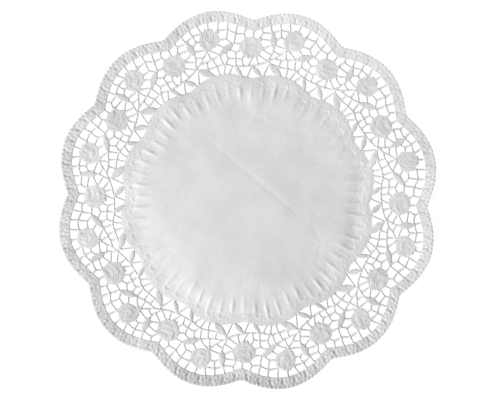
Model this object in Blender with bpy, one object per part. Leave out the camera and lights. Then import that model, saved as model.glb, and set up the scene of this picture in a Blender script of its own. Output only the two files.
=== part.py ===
"""Paper doily: one round sheet of paper, die-cut into a net with roses and leaves, and embossed.

Metres, +Z up. The sheet lies flat, its underside at Z = 0 and its middle on the Z axis. A bearing is
in degrees, counter-clockwise from +X seen from above. The lace repeats twelve times: a notch between
two scallops lies on +X, and one repeat reaches from that notch to the next.
"""

import math
from typing import NamedTuple

import bpy
from mathutils import Vector
from mathutils.geometry import delaunay_2d_cdt

MM = 0.001  # the tables and sizes below are in millimetres

REPEATS = 12
PITCH = 360 / REPEATS  # degrees from one notch to the next
SHEET_THICKNESS = 1.0
THREAD = 1.1  # width of a thread of the net
STEM = 1.6  # width of a stem

OUTER_NOTCH, OUTER_PEAK = 140.8, 150.0  # radius of the scalloped edge, at a notch and at mid-scallop
INNER_NOTCH, INNER_PEAK = 131.5, 141.5  # radius where the rim ends and the net begins
PLATE_NOTCH, PLATE_PEAK = 95.5, 100.5  # radius of the plain middle's edge
NOTCH_ROUNDING = 0.06  # how soft the corner of a notch is

RIM_STRANDS = (0.0, 2.6, 5.5, 8.5, 11.6, 15.0, 18.6, 21.5, 24.6, 27.4)  # where threads meet the rim
RIM_CROWN, RIM_DIP = 0.6, 0.2  # height of the rim's middle line between two threads, and at a thread

FLUTES = 5  # pressed flutes of the plain middle, in each repeat
FLUTE_LENGTH = 10.0
FLUTE_FOOT = 2.5  # length of a flute's sloping end
FLUTE_SETBACK = 5.0  # from a flute's outer end to the plain middle's edge
FLUTE_CROWN = 0.6

ROSE_PETALS = 6
ROSE_CROWN, PETAL_CROWN, PETAL_DIP = 0.9, 0.75, 0.4
PETAL_SHARE = 0.55  # where the petals' ring stands, between a rose's middle and its outline
ROSE_SIDES = 20
TIP_SPREAD = 12.0  # degrees round the rose that a pointed tip takes, to each side

LEAF_STEPS = 5
LEAF_CROWN = 0.6
LEAF_FULLNESS = 0.9  # under 1 makes a leaf's middle fuller

HOLES_PER_REPEAT = 25
EDGE_STEPS = 14  # straight runs of the scalloped edge in each repeat
CORNER_SLACK = 0.25  # a hole's corner that stands out less than this is left out
WELD = 1e-5


class Strand(NamedTuple):
    """A thread or stem: its width, and the (bearing, radius) of each point that it runs through."""

    width: float
    path: tuple


class Leaf(NamedTuple):
    """A pointed leaf: its tip, its foot and its greatest width."""

    tip_bearing: float
    tip_radius: float
    foot_bearing: float
    foot_radius: float
    width: float


class Rose(NamedTuple):
    """A rose: its middle, its size, and its pointed tips as (turn from outward, reach)."""

    bearing: float
    radius: float
    across: float
    along: float
    tips: tuple


STRANDS = (
    # from the rim inwards
    Strand(THREAD, ((0.0, 134.5), (0.0, 127.0))),
    Strand(THREAD, ((2.3, 136.0), (3.4, 129.7), (2.5, 125.8))),
    Strand(THREAD, ((5.2, 138.8), (6.2, 130.3), (7.1, 122.8))),
    Strand(THREAD, ((8.4, 141.5), (8.8, 134.1), (9.6, 127.0), (7.9, 122.8))),
    Strand(THREAD, ((11.3, 143.5), (12.2, 134.0))),
    Strand(THREAD, ((14.9, 144.0), (15.1, 137.0))),
    Strand(THREAD, ((18.8, 143.5), (17.5, 134.5))),
    Strand(THREAD, ((21.7, 142.0), (20.8, 134.9), (20.3, 129.4), (21.8, 126.6))),
    Strand(THREAD, ((24.8, 139.8), (23.6, 131.7))),
    Strand(THREAD, ((27.6, 136.5), (26.8, 131.1), (27.8, 126.6))),
    # across, beside the first rose
    Strand(THREAD, ((3.4, 129.7), (6.2, 130.2), (8.8, 134.1), (12.4, 134.2))),
    Strand(THREAD, ((9.6, 127.0), (12.6, 127.0))),
    Strand(THREAD, ((4.4, 121.9), (7.2, 122.9))),
    Strand(THREAD, ((4.5, 117.3), (6.75, 115.6), (8.8, 118.2))),
    Strand(THREAD, ((6.75, 115.6), (6.9, 110.8), (7.05, 104.6))),
    Strand(THREAD, ((3.3, 113.5), (4.45, 109.8), (6.9, 110.8), (9.9, 111.4), (10.6, 116.0))),
    Strand(THREAD, ((4.45, 109.8), (3.85, 104.4))),
    Strand(THREAD, ((9.9, 111.4), (11.2, 107.3))),
    Strand(THREAD, ((0.25, 111.0), (1.9, 104.6))),
    Strand(THREAD, ((-1.4, 111.8), (-2.5, 105.4))),
    # under the second rose
    Strand(THREAD, ((11.2, 120.4), (13.0, 123.7))),
    Strand(THREAD, ((13.1, 115.4), (14.1, 116.8), (15.0, 118.3), (17.0, 121.0))),
    Strand(THREAD, ((17.5, 120.4), (16.65, 112.9))),
    Strand(THREAD, ((13.1, 115.4), (14.5, 114.2), (16.65, 112.9), (18.6, 112.05), (21.3, 111.9))),
    Strand(THREAD, ((16.05, 113.2), (15.1, 106.8))),
    Strand(THREAD, ((13.0, 115.2), (12.2, 107.4))),
    Strand(THREAD, ((18.6, 112.05), (18.85, 106.6))),
    # across, beyond the second rose
    Strand(THREAD, ((17.2, 134.7), (20.8, 134.8), (23.4, 131.9))),
    Strand(THREAD, ((23.3, 131.1), (26.8, 131.1))),
    Strand(THREAD, ((20.3, 129.4), (18.4, 128.2))),
    Strand(THREAD, ((17.2, 121.0), (22.0, 122.7))),
    Strand(THREAD, ((23.6, 125.5), (27.8, 126.2))),
    Strand(THREAD, ((23.2, 122.5), (24.1, 121.3), (26.5, 118.4))),
    Strand(THREAD, ((22.8, 114.7), (24.5, 115.8), (26.5, 118.0))),
    Strand(THREAD, ((24.0, 109.7), (25.2, 110.6), (26.5, 112.2), (27.9, 113.8))),
    Strand(THREAD, ((19.5, 115.9), (22.4, 117.9))),
    # from the vine to the plain middle
    Strand(THREAD, ((0.35, 104.6), (2.6, 95.5))),
    Strand(THREAD, ((8.6, 105.0), (10.6, 99.2))),
    Strand(THREAD, ((11.5, 107.0), (12.8, 99.6))),
    Strand(THREAD, ((14.95, 107.2), (14.8, 99.8))),
    Strand(THREAD, ((23.2, 107.2), (24.85, 97.5))),
    # the second rose's stem, the second leaf's stem, and the vine that winds round the sheet
    Strand(STEM, ((17.2, 120.4), (18.45, 118.0), (19.6, 115.7), (20.6, 113.5))),
    Strand(STEM, ((20.6, 113.5), (21.9, 111.6), (23.8, 109.6))),
    Strand(STEM, ((22.2, 120.6), (22.4, 117.0), (22.95, 113.6), (23.8, 109.6))),
    Strand(STEM, ((5.0, 104.4), (7.0, 104.7), (9.0, 105.6), (10.6, 106.8), (12.3, 107.3))),
    Strand(STEM, ((12.3, 107.3), (14.9, 107.1), (17.0, 106.5), (18.8, 106.3), (19.9, 107.1))),
    Strand(STEM, ((20.0, 106.9), (22.4, 107.8), (23.9, 109.3), (25.0, 108.0), (26.5, 106.8))),
    Strand(STEM, ((26.5, 106.8), (28.0, 105.9), (30.0, 105.0), (32.0, 104.5), (35.0, 104.4))),
)

LEAVES = (
    Leaf(7.0, 123.6, 13.3, 114.9, 4.7),
    Leaf(23.3, 132.3, 22.2, 119.0, 4.9),
    Leaf(22.95, 107.6, 16.6, 99.6, 5.2),
    Leaf(30.2, 104.6, 25.6, 97.0, 4.0),
    Leaf(7.5, 105.2, 4.5, 96.6, 3.4),
)

ROSE_TIPS = ((-96, 1.0), (-49, 1.7), (166, 1.7), (185, 1.7), (208, 1.7))
BUD_TIPS = ((-59, 1.7), (-22, 1.2), (-2, 1.4), (13, 1.5), (112, 1.0), (130, 1.2), (148, 1.5), (169, 2.6))
ROSES = (
    Rose(0.75, 119.5, 18.0, 16.2, ROSE_TIPS),
    Rose(15.4, 128.7, 15.9, 14.8, BUD_TIPS),
)


def polar(bearing, radius):
    """The point at a bearing and a radius from the sheet's middle."""
    angle = math.radians(bearing)
    return Vector((radius * math.cos(angle), radius * math.sin(angle)))


def scalloped(bearing, notch, peak):
    """Radius of an edge that bows out from the notch radius to the peak radius once in each repeat."""
    bow = math.hypot(math.sin(math.pi * bearing / PITCH), NOTCH_ROUNDING) - NOTCH_ROUNDING
    return notch + (peak - notch) * bow / (math.hypot(1, NOTCH_ROUNDING) - NOTCH_ROUNDING)


def strand_outlines(strand, turn):
    """A rectangle for each straight run of a strand, a little longer than the run."""
    points = [polar(bearing + turn, radius) for bearing, radius in strand.path]
    outlines = []
    for start, end in zip(points, points[1:]):
        along = (end - start).normalized() * strand.width / 2
        aside = Vector((along.y, -along.x))
        start, end = start - along / 2, end + along / 2
        outlines.append([start + aside, end + aside, end - aside, start - aside])
    return outlines


def leaf_middle(leaf, turn, share):
    """The point at a share of the way from a leaf's tip to its foot."""
    tip = polar(leaf.tip_bearing + turn, leaf.tip_radius)
    return tip.lerp(polar(leaf.foot_bearing + turn, leaf.foot_radius), share)


def leaf_outline(leaf, turn):
    """The leaf's outline, from its tip down one side and up the other, counter-clockwise."""
    along = (leaf_middle(leaf, turn, 1) - leaf_middle(leaf, turn, 0)).normalized()
    aside = Vector((along.y, -along.x)) * leaf.width / 2
    shares = [step / LEAF_STEPS for step in range(LEAF_STEPS + 1)]
    spread = [math.sin(math.pi * share) ** LEAF_FULLNESS for share in shares[1:-1]]
    middles = [leaf_middle(leaf, turn, share) for share in shares]
    left = [middle - aside * wide for middle, wide in zip(middles[1:-1], spread)]
    right = [middle + aside * wide for middle, wide in zip(middles[1:-1], spread)]
    return [middles[0], *right, middles[-1], *reversed(left)]


def rose_point(rose, turn, clock, share):
    """The point at a share of the way from a rose's middle to its outline, at a turn from outward."""
    angle = math.radians(clock)
    along, aside = rose.along / 2 * math.cos(angle), rose.across / 2 * math.sin(angle)
    size = math.hypot(along, aside)
    for tip, reach in rose.tips:
        off = (clock - tip + 180) % 360 - 180
        size += max(0, 1 - abs(off) / TIP_SPREAD) * reach
    heading = rose.bearing + turn + math.degrees(math.atan2(aside, along))
    return polar(rose.bearing + turn, rose.radius) + polar(heading, size * share)


def rose_outline(rose, turn):
    """The rose's outline, with a corner at each pointed tip."""
    clocks = [360 * side / ROSE_SIDES for side in range(ROSE_SIDES)]
    tips = [tip % 360 for tip, _ in rose.tips]
    clocks = [clock for clock in clocks if all(abs(clock - tip) > TIP_SPREAD / 2 for tip in tips)]
    return [rose_point(rose, turn, clock, 1) for clock in sorted(clocks + tips)]


def edge_loop(notch, peak):
    """The whole of a scalloped edge, counter-clockwise, with no point twice."""
    bearings = [PITCH * step / EDGE_STEPS for step in range(REPEATS * EDGE_STEPS)]
    return [polar(bearing, scalloped(bearing, notch, peak)) for bearing in bearings]


def paper_outlines():
    """Outlines of all that stays paper inside the rim: plain middle, roses, leaves, stems and threads."""
    outlines = [edge_loop(PLATE_NOTCH, PLATE_PEAK)]
    for turn in [PITCH * repeat for repeat in range(REPEATS)]:
        outlines += [rose_outline(rose, turn) for rose in ROSES]
        outlines += [leaf_outline(leaf, turn) for leaf in LEAVES]
        for strand in STRANDS:
            outlines += strand_outlines(strand, turn)
    return outlines


def filled(loops, points=(), edges=()):
    """The triangles inside the first loop and outside the others, with loose points and edges worked in.

    Returns the points, the triangles, and for each point the places it has in loops and points.
    """
    corners = [corner for loop in loops for corner in loop]
    faces = []
    for loop in loops:
        first = faces[-1][-1] + 1 if faces else 0
        faces.append(list(range(first, first + len(loop))))
    made = delaunay_2d_cdt([*corners, *points], edges, faces, 0, WELD)
    triangles = [list(triangle) for triangle, inside in zip(made[2], made[5]) if inside == [0]]
    return made[0], triangles, made[3]


def area_of(loop):
    """Area inside a loop of points."""
    return abs(sum(a.cross(b) for a, b in zip(loop, loop[1:] + loop[:1]))) / 2


def simplified(loop):
    """The loop without the corners that stand less than CORNER_SLACK off the line past them."""
    loop = list(loop)
    while len(loop) > 3:
        offs = []
        for before, corner, after in zip(loop[-1:] + loop[:-1], loop, loop[1:] + loop[:1]):
            base = after - before
            offs.append(abs(base.cross(corner - before)) / base.length)
        least = min(offs)
        if least > CORNER_SLACK:
            break
        del loop[offs.index(least)]
    return loop


def border_of(triangles):
    """The border of some triangles, as a dictionary from each corner to the next."""
    edges = {edge for a, b, c in triangles for edge in ((a, b), (b, c), (c, a))}
    return {a: b for a, b in edges if (b, a) not in edges}


def loops_of(border):
    """Each closed run of a border, as a list of corners."""
    border = dict(border)
    loops = []
    while border:
        corner, beyond = border.popitem()
        loop = [corner]
        while beyond != loop[0]:
            loop.append(beyond)
            beyond = border.pop(beyond)
        loops.append(loop)
    return loops


def gaps_between(outlines):
    """A loop of points round each gap that the outlines leave open, inside the rim."""
    points, triangles, _ = filled([edge_loop(INNER_NOTCH, INNER_PEAK), *outlines])
    return [[points[corner] for corner in loop] for loop in loops_of(border_of(triangles))]


def largest_gaps():
    """The outlines of the largest gaps, the same ones in each repeat."""
    loops = sorted(gaps_between(paper_outlines()), key=area_of, reverse=True)
    return [simplified(loop) for loop in loops[: HOLES_PER_REPEAT * REPEATS]]


def rim_ridge(turn):
    """(point, height) pairs along the rim's middle line: high between two threads, low at each."""
    notch, peak = (OUTER_NOTCH + INNER_NOTCH) / 2, (OUTER_PEAK + INNER_PEAK) / 2
    ridge = []
    for strand, beyond in zip(RIM_STRANDS, [*RIM_STRANDS[1:], PITCH]):
        for bearing, height in ((strand, RIM_DIP), ((strand + beyond) / 2, RIM_CROWN)):
            ridge.append((polar(bearing + turn, scalloped(bearing, notch, peak)), height))
    return ridge


def flute_rows(turn):
    """(point, height) rows of the pressed flutes: a raised run for each, and a flat one beside it."""
    rows = []
    step = PITCH / FLUTES
    for flute in range(FLUTES):
        bearing = step * flute
        outer = scalloped(bearing, PLATE_NOTCH, PLATE_PEAK) - FLUTE_SETBACK
        inner = outer - FLUTE_LENGTH
        crest = ((outer, 0), (outer - FLUTE_FOOT, FLUTE_CROWN), (inner + FLUTE_FOOT, FLUTE_CROWN))
        rows.append([(polar(bearing + turn, radius), height) for radius, height in (*crest, (inner, 0))])
        beside = bearing + turn + step / 2
        rows.append([(polar(beside, radius), 0) for radius in (outer - FLUTE_FOOT, inner + FLUTE_FOOT)])
    return rows


def rose_relief(rose, turn):
    """(point, height) pairs: the rose's middle, and a ring of petals with dips between them."""
    relief = [(rose_point(rose, turn, 0, 0), ROSE_CROWN)]
    for half in range(2 * ROSE_PETALS):
        height = PETAL_DIP if half % 2 else PETAL_CROWN
        relief.append((rose_point(rose, turn, 180 * half / ROSE_PETALS, PETAL_SHARE), height))
    return relief


def leaf_ridge(leaf, turn):
    """(point, height) pairs along the leaf's midrib."""
    shares = [step / LEAF_STEPS for step in range(1, LEAF_STEPS)]
    return [(leaf_middle(leaf, turn, share), LEAF_CROWN * math.sin(math.pi * share)) for share in shares]


def relief_rows():
    """All raised (point, height) rows. A row's points are joined by edges in order."""
    rows = []
    for turn in [PITCH * repeat for repeat in range(REPEATS)]:
        rows.append(rim_ridge(turn))
        rows += flute_rows(turn)
        rows += [leaf_ridge(leaf, turn) for leaf in LEAVES]
        for rose in ROSES:
            rows += [[pair] for pair in rose_relief(rose, turn)]
    return rows


def sheet_mesh():
    """The sheet as a closed mesh: relief on top, flat underneath, walls round the edge and each hole."""
    loops = [edge_loop(OUTER_NOTCH, OUTER_PEAK), *largest_gaps()]
    flat = [corner for loop in loops for corner in loop]
    raised, heights, ridges = [], [0.0] * len(flat), []
    for row in relief_rows():
        first = len(heights)
        ridges += [(first + step, first + step + 1) for step in range(len(row) - 1)]
        raised += [point for point, _ in row]
        heights += [height for _, height in row]
    _, top, sources = filled(loops, raised, ridges)
    top = [[sources[corner][0] for corner in triangle] for triangle in top]
    _, bottom, sources = filled(loops)
    below = len(heights)
    bottom = [[below + sources[corner][0] for corner in reversed(triangle)] for triangle in bottom]
    walls = [[b, a, below + a, below + b] for a, b in sorted(border_of(top).items())]
    vertices = [(x, y, SHEET_THICKNESS + height) for (x, y), height in zip([*flat, *raised], heights)]
    vertices += [(x, y, 0) for x, y in flat]
    mesh = bpy.data.meshes.new("doily")
    mesh.from_pydata([Vector(vertex) * MM for vertex in vertices], [], top + bottom + walls)
    mesh.update()
    return mesh


def paper_material():
    """White embossing paper, matt."""
    material = bpy.data.materials.new("paper")
    material.use_nodes = True
    shader = material.node_tree.nodes["Principled BSDF"]
    shader.inputs["Base Color"].default_value = (0.82, 0.81, 0.81, 1)
    shader.inputs["Roughness"].default_value = 0.9
    shader.inputs["Metallic"].default_value = 0
    return material


def main():
    """Clears the scene and puts the doily in it."""
    for old in list(bpy.data.objects):
        bpy.data.objects.remove(old)
    doily = bpy.data.objects.new("doily", sheet_mesh())
    doily.data.materials.append(paper_material())
    bpy.context.scene.collection.objects.link(doily)


main()
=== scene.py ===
"""The dressed paper doily: one thin embossed sheet with its cut-out net, lying flat on a white table.

Metres, +Z up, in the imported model's frame. Charts and sizes of the sheet are in millimetres. A bearing is
in degrees, counter-clockwise from +X seen from above. A notch between two scallops lies on +X, and the lace
repeats twelve times from there.
"""

from __future__ import annotations

import logging
import math
from collections.abc import Sequence
from dataclasses import dataclass
from enum import Enum
from typing import NamedTuple

import bpy
import numpy as np
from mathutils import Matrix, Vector
from mathutils.geometry import delaunay_2d_cdt

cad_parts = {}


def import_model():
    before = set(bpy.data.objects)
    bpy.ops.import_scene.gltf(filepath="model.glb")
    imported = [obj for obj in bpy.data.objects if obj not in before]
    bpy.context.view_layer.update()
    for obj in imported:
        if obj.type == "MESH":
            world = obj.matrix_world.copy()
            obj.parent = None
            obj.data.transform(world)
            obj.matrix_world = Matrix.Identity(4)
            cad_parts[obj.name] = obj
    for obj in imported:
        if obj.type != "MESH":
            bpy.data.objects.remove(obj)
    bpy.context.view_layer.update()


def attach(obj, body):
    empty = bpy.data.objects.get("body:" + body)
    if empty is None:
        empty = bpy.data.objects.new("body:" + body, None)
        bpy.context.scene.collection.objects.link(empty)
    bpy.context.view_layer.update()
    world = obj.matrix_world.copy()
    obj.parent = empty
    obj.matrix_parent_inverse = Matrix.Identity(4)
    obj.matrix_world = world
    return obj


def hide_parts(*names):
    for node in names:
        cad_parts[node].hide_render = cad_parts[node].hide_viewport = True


log = logging.getLogger("doily")

MM = 0.001
REPEATS = 12
PITCH = 360 / REPEATS
NEIGHBOURS = (-PITCH, 0.0, PITCH)
FAR_SEAM = np.array([-math.sin(math.radians(PITCH)), math.cos(math.radians(PITCH))])
WELD = 1e-5
ON_SEAM = 1e-3
BATCH = 800

THREAD = 1.1
STEM = 1.6

Span = tuple[float, float]
Socket = bpy.types.NodeSocket
Given = Socket | float | Sequence[float]


class Mark(Enum):
    """The numbers that the sheet's points carry to the nodes and to the paper's material."""

    LIFT = "lift"
    FLUTE = "flute"
    # painted shade and painted highlight that darken and lighten the paper's colour, with a darker tone over
    # embossed parts
    PRESSED = "pressed"
    GRAIN = "grain"
    WHORL = "whorl"
    PETALS = "petals"


class Strand(NamedTuple):
    """A thread or stem: its width, and the (bearing, radius) of each point that it runs through."""

    width: float
    path: tuple[Span, ...]


class Leaf(NamedTuple):
    """A pointed leaf: its tip, its foot and its greatest width."""

    tip_bearing: float
    tip_radius: float
    foot_bearing: float
    foot_radius: float
    width: float

    def ends(self, turn: float) -> tuple[np.ndarray, np.ndarray]:
        """Its tip and its foot, turned about the sheet's middle."""
        tip = polar(self.tip_bearing + turn, self.tip_radius)
        return tip, polar(self.foot_bearing + turn, self.foot_radius)


class Rose(NamedTuple):
    """A rose: its middle, its size, and its pointed tips as (turn from outward, reach)."""

    bearing: float
    radius: float
    across: float
    along: float
    tips: tuple[Span, ...]


class Fold(NamedTuple):
    """A pressed line: its height, under zero for a crease, its half width, and its (right, out) points."""

    height: float
    width: float
    path: tuple[Span, ...]


class Posy(NamedTuple):
    """The folds of one rose, and the (bearing, radius) of the mark that their points are measured from.

    heart is the (right, out) place that its fine whorls go round, stretch how much longer they are outwards.
    """

    bearing: float
    radius: float
    heart: Span
    stretch: float
    folds: tuple[Fold, ...]


THREADS: tuple[tuple[Span, ...], ...] = (
    # from the rim inwards
    ((0.0, 134.5), (0.0, 127.0)),
    ((2.3, 136.0), (3.4, 129.7), (2.5, 125.8)),
    ((5.2, 138.8), (6.2, 130.3), (7.1, 122.8)),
    ((8.4, 141.5), (8.8, 134.1), (9.6, 127.0), (7.9, 122.8)),
    ((11.3, 143.5), (12.2, 134.0)),
    ((14.9, 144.0), (15.1, 137.0)),
    ((18.8, 143.5), (17.5, 134.5)),
    ((21.7, 142.0), (20.8, 134.9), (20.3, 129.4), (21.8, 126.6)),
    ((24.8, 139.8), (23.6, 131.7)),
    ((27.6, 136.5), (26.8, 131.1), (27.8, 126.6)),
    # across, beside the first rose
    ((3.4, 129.7), (6.2, 130.2), (8.8, 134.1), (12.4, 134.2)),
    ((9.6, 127.0), (12.6, 127.0)),
    ((4.4, 121.9), (7.2, 122.9)),
    ((4.5, 117.3), (6.75, 115.6), (8.8, 118.2)),
    ((6.75, 115.6), (6.9, 110.8), (7.05, 104.6)),
    ((3.3, 113.5), (4.45, 109.8), (6.9, 110.8), (9.9, 111.4), (10.6, 116.0)),
    ((4.45, 109.8), (3.85, 104.4)),
    ((9.9, 111.4), (11.2, 107.3)),
    ((0.25, 111.0), (1.9, 104.6)),
    ((-1.4, 111.8), (-2.5, 105.4)),
    # under the second rose
    ((11.2, 120.4), (13.0, 123.7)),
    ((13.1, 115.4), (14.1, 116.8), (15.0, 118.3), (17.0, 121.0)),
    ((17.5, 120.4), (16.65, 112.9)),
    ((13.1, 115.4), (14.5, 114.2), (16.65, 112.9), (18.6, 112.05), (21.3, 111.9)),
    ((16.05, 113.2), (15.1, 106.8)),
    ((13.0, 115.2), (12.2, 107.4)),
    ((18.6, 112.05), (18.85, 106.6)),
    # across, beyond the second rose
    ((17.2, 134.7), (20.8, 134.8), (23.4, 131.9)),
    ((23.3, 131.1), (26.8, 131.1)),
    ((20.3, 129.4), (18.4, 128.2)),
    ((17.2, 121.0), (22.0, 122.7)),
    ((23.6, 125.5), (27.8, 126.2)),
    ((23.2, 122.5), (24.1, 121.3), (26.5, 118.4)),
    ((22.8, 114.7), (24.5, 115.8), (26.5, 118.0)),
    ((24.0, 109.7), (25.2, 110.6), (26.5, 112.2), (27.9, 113.8)),
    ((19.5, 115.9), (22.4, 117.9)),
    # from the vine to the plain middle
    ((0.35, 104.6), (2.6, 95.5)),
    ((8.6, 105.0), (10.6, 99.2)),
    ((11.5, 107.0), (12.8, 99.6)),
    ((14.95, 107.2), (14.8, 99.8)),
    ((23.2, 107.2), (24.85, 97.5)),
)
STEMS: tuple[tuple[Span, ...], ...] = (
    # the second rose's stem, the second leaf's stem, and the vine that winds round the sheet
    ((17.2, 120.4), (18.45, 118.0), (19.6, 115.7), (20.6, 113.5)),
    ((20.6, 113.5), (21.9, 111.6), (23.8, 109.6)),
    ((22.2, 120.6), (22.4, 117.0), (22.95, 113.6), (23.8, 109.6)),
    ((5.0, 104.4), (7.0, 104.7), (9.0, 105.6), (10.6, 106.8), (12.3, 107.3)),
    ((12.3, 107.3), (14.9, 107.1), (17.0, 106.5), (18.8, 106.3), (19.9, 107.1)),
    ((20.0, 106.9), (22.4, 107.8), (23.9, 109.3), (25.0, 108.0), (26.5, 106.8)),
    ((26.5, 106.8), (28.0, 105.9), (30.0, 105.0), (32.0, 104.5), (35.0, 104.4)),
)
STRANDS = (
    *(Strand(THREAD, path) for path in THREADS),
    *(Strand(STEM, path) for path in STEMS),
)

LEAVES = (
    Leaf(7.0, 123.6, 13.3, 114.9, 4.7),
    Leaf(23.3, 132.3, 22.2, 119.0, 4.9),
    Leaf(22.95, 107.6, 16.6, 99.6, 5.2),
    Leaf(30.2, 104.6, 25.6, 97.0, 4.0),
    Leaf(7.5, 105.2, 4.5, 96.6, 3.4),
)

ROSE_TIPS = ((-96, 1.0), (-49, 1.7), (166, 1.7), (185, 1.7), (208, 1.7))
BUD_TIPS = ((-59, 1.7), (-22, 1.2), (-2, 1.4), (13, 1.5), (112, 1.0), (130, 1.2), (148, 1.5), (169, 2.6))
ROSES = (
    Rose(0.75, 119.5, 18.0, 16.2, ROSE_TIPS),
    Rose(15.4, 128.7, 15.9, 14.8, BUD_TIPS),
)

POSIES = (
    Posy(0.0, 120.0, (0.0, 5.0), 1.0, (
        # petals
        Fold(1.0, 1.9, ((-1.6, 5.2), (0.2, 5.3), (1.8, 5.2))),
        Fold(0.8, 1.0, ((-6.3, 3.2), (-6.3, 1.2), (-5.9, -0.2), (-5.2, -1.4))),
        Fold(0.8, 1.5, ((-5.8, -0.4), (-5.2, -1.2))),
        Fold(1.0, 1.5, ((-7.2, -4.2), (-6.2, -5.4))),
        Fold(0.7, 0.8, ((-9.2, -1.4), (-8.6, -2.8), (-7.8, -3.6))),
        Fold(1.0, 1.0, ((-2.8, -4.0), (-1.0, -4.5), (0.8, -4.3), (2.4, -3.6), (3.6, -2.2))),
        Fold(0.9, 1.3, ((-0.2, -4.2), (1.8, -3.7))),
        Fold(0.45, 0.7, ((-1.8, 0.6), (0.0, 0.4), (1.6, 1.0), (2.8, 1.9))),
        Fold(0.4, 0.7, ((-1.4, -0.9), (0.4, -0.9), (2.2, -0.2), (3.4, 0.8))),
        Fold(0.35, 0.6, ((-4.9, 4.6), (-4.4, 3.2), (-4.0, 2.2))),
        Fold(0.6, 0.8, ((7.0, 0.6), (7.3, -0.6), (6.6, -1.8))),
        Fold(0.4, 0.7, ((5.9, 2.0), (5.6, -0.6), (4.6, -2.8))),
        Fold(0.7, 0.9, ((5.6, 5.2), (5.8, 4.4))),
        Fold(0.6, 1.0, ((3.9, -6.2), (4.6, -5.4))),
        # sepals
        Fold(0.9, 0.75, ((-3.6, -6.9), (-3.7, -8.6))),
        Fold(0.9, 0.75, ((-0.9, -6.9), (-1.0, -9.2))),
        Fold(0.9, 0.8, ((2.2, -7.9), (2.7, -8.7))),
        # creases between them
        Fold(-0.8, 0.8, ((-2.8, 2.4), (-1.0, 1.9), (0.8, 1.9), (2.6, 2.6), (4.2, 4.2))),
        Fold(-0.5, 0.7, ((-4.2, -2.6), (-3.9, -3.6))),
        Fold(-0.4, 0.7, ((-3.4, -5.6), (-1.6, -6.0), (0.6, -5.9), (2.4, -5.4))),
        Fold(-0.3, 0.7, ((-7.6, 2.0), (-7.8, 0.0), (-7.0, -2.0))),
    )),
    Posy(15.3, 128.5, (0.0, 4.0), 1.8, (
        # petals
        Fold(1.0, 1.4, ((2.6, 6.8), (3.6, 5.6), (5.0, 5.2))),
        Fold(0.7, 0.9, ((3.4, 4.6), (2.4, 3.6), (1.4, 3.3))),
        Fold(1.0, 1.5, ((-1.6, -2.4), (-0.4, -2.8), (0.8, -2.3))),
        Fold(0.7, 0.85, ((-5.2, -4.6), (-3.6, -5.6), (-1.6, -6.3), (0.4, -6.5), (2.2, -5.9), (3.8, -4.8))),
        Fold(0.85, 0.8, ((4.8, -3.8), (5.6, -2.0), (6.0, 0.2), (6.3, 2.4))),
        Fold(0.6, 0.7, ((-6.0, 1.6), (-5.6, 3.4), (-4.6, 5.6), (-3.2, 6.6), (-2.4, 8.6))),
        Fold(0.7, 0.9, ((-3.3, 1.6), (-2.6, 3.2), (-1.8, 4.6))),
        Fold(0.6, 0.9, ((-7.0, -0.6), (-6.4, -1.6))),
        Fold(0.35, 0.7, ((0.0, 0.4), (1.4, 0.9), (2.6, 2.0))),
        Fold(0.6, 0.7, ((0.2, 6.2), (0.4, 7.8), (0.7, 9.4))),
        # sepals
        Fold(0.9, 1.0, ((-4.8, -7.9), (-4.6, -8.6))),
        Fold(0.8, 0.9, ((-2.4, -8.7), (-1.6, -9.3))),
        Fold(0.5, 0.8, ((-6.6, -6.4), (-6.2, -7.0))),
        # creases between them
        Fold(-0.6, 0.6, ((-0.2, 1.9), (0.0, 3.4), (-0.3, 5.2))),
        Fold(-0.5, 0.8, ((-4.4, 0.0), (-4.2, -2.0), (-3.6, -4.2))),
        Fold(-0.6, 0.7, ((2.6, -3.8), (3.8, -2.0), (4.4, 0.4), (4.6, 2.6))),
        Fold(-0.4, 0.7, ((-2.4, 0.2), (-1.2, -0.4))),
        Fold(-0.4, 0.6, ((-4.4, 3.0), (-3.6, 5.0))),
    )),
)


def polar(bearing: float | np.ndarray, radius: float | np.ndarray) -> np.ndarray:
    """The point at a bearing and a radius from the sheet's middle."""
    angle = np.radians(bearing)
    return np.stack([radius * np.cos(angle), radius * np.sin(angle)], axis=-1)


def bearings_of(points: np.ndarray) -> np.ndarray:
    """The bearing of each point, from -180 to 180."""
    return np.degrees(np.arctan2(points[:, 1], points[:, 0]))


def turned(points: np.ndarray, bearing: float) -> np.ndarray:
    """The points turned about the sheet's middle, counter-clockwise."""
    c, s = math.cos(math.radians(bearing)), math.sin(math.radians(bearing))
    return points @ np.array([[c, s], [-s, c]])


def seen_from(points: np.ndarray, bearing: float, radius: float) -> np.ndarray:
    """The points as (right, out) from a mark, seen from above with outward up.

    Args:
        points: the points.
        bearing: the mark's bearing.
        radius: the mark's radius.

    Returns:
        A right and an out for each point.
    """
    angle = math.radians(bearing)
    out = np.array([math.cos(angle), math.sin(angle)])
    right = np.array([math.sin(angle), -math.cos(angle)])
    return np.stack([points @ right, points @ out - radius], axis=1)


def smooth_path(corners: Sequence[Span] | np.ndarray, step: float) -> np.ndarray:
    """A smooth line through some points.

    Args:
        corners: the points, in order.
        step: about how far apart the line's own points are.

    Returns:
        The line's points, the first and last corner among them.
    """
    corners = np.array(corners, dtype=float)
    if len(corners) < 3:
        return corners
    slopes = np.gradient(corners, axis=0)
    line = []
    for start, end, leave, reach in zip(corners, corners[1:], slopes, slopes[1:]):
        count = max(1, round(float(np.linalg.norm(end - start)) / step))
        t = (np.arange(count) / count)[:, None]
        line.append(
            (2 * t**3 - 3 * t**2 + 1) * start + (t**3 - 2 * t**2 + t) * leave
            + (3 * t**2 - 2 * t**3) * end + (t**3 - t**2) * reach
        )
    return np.concatenate([*line, corners[-1:]])


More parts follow.
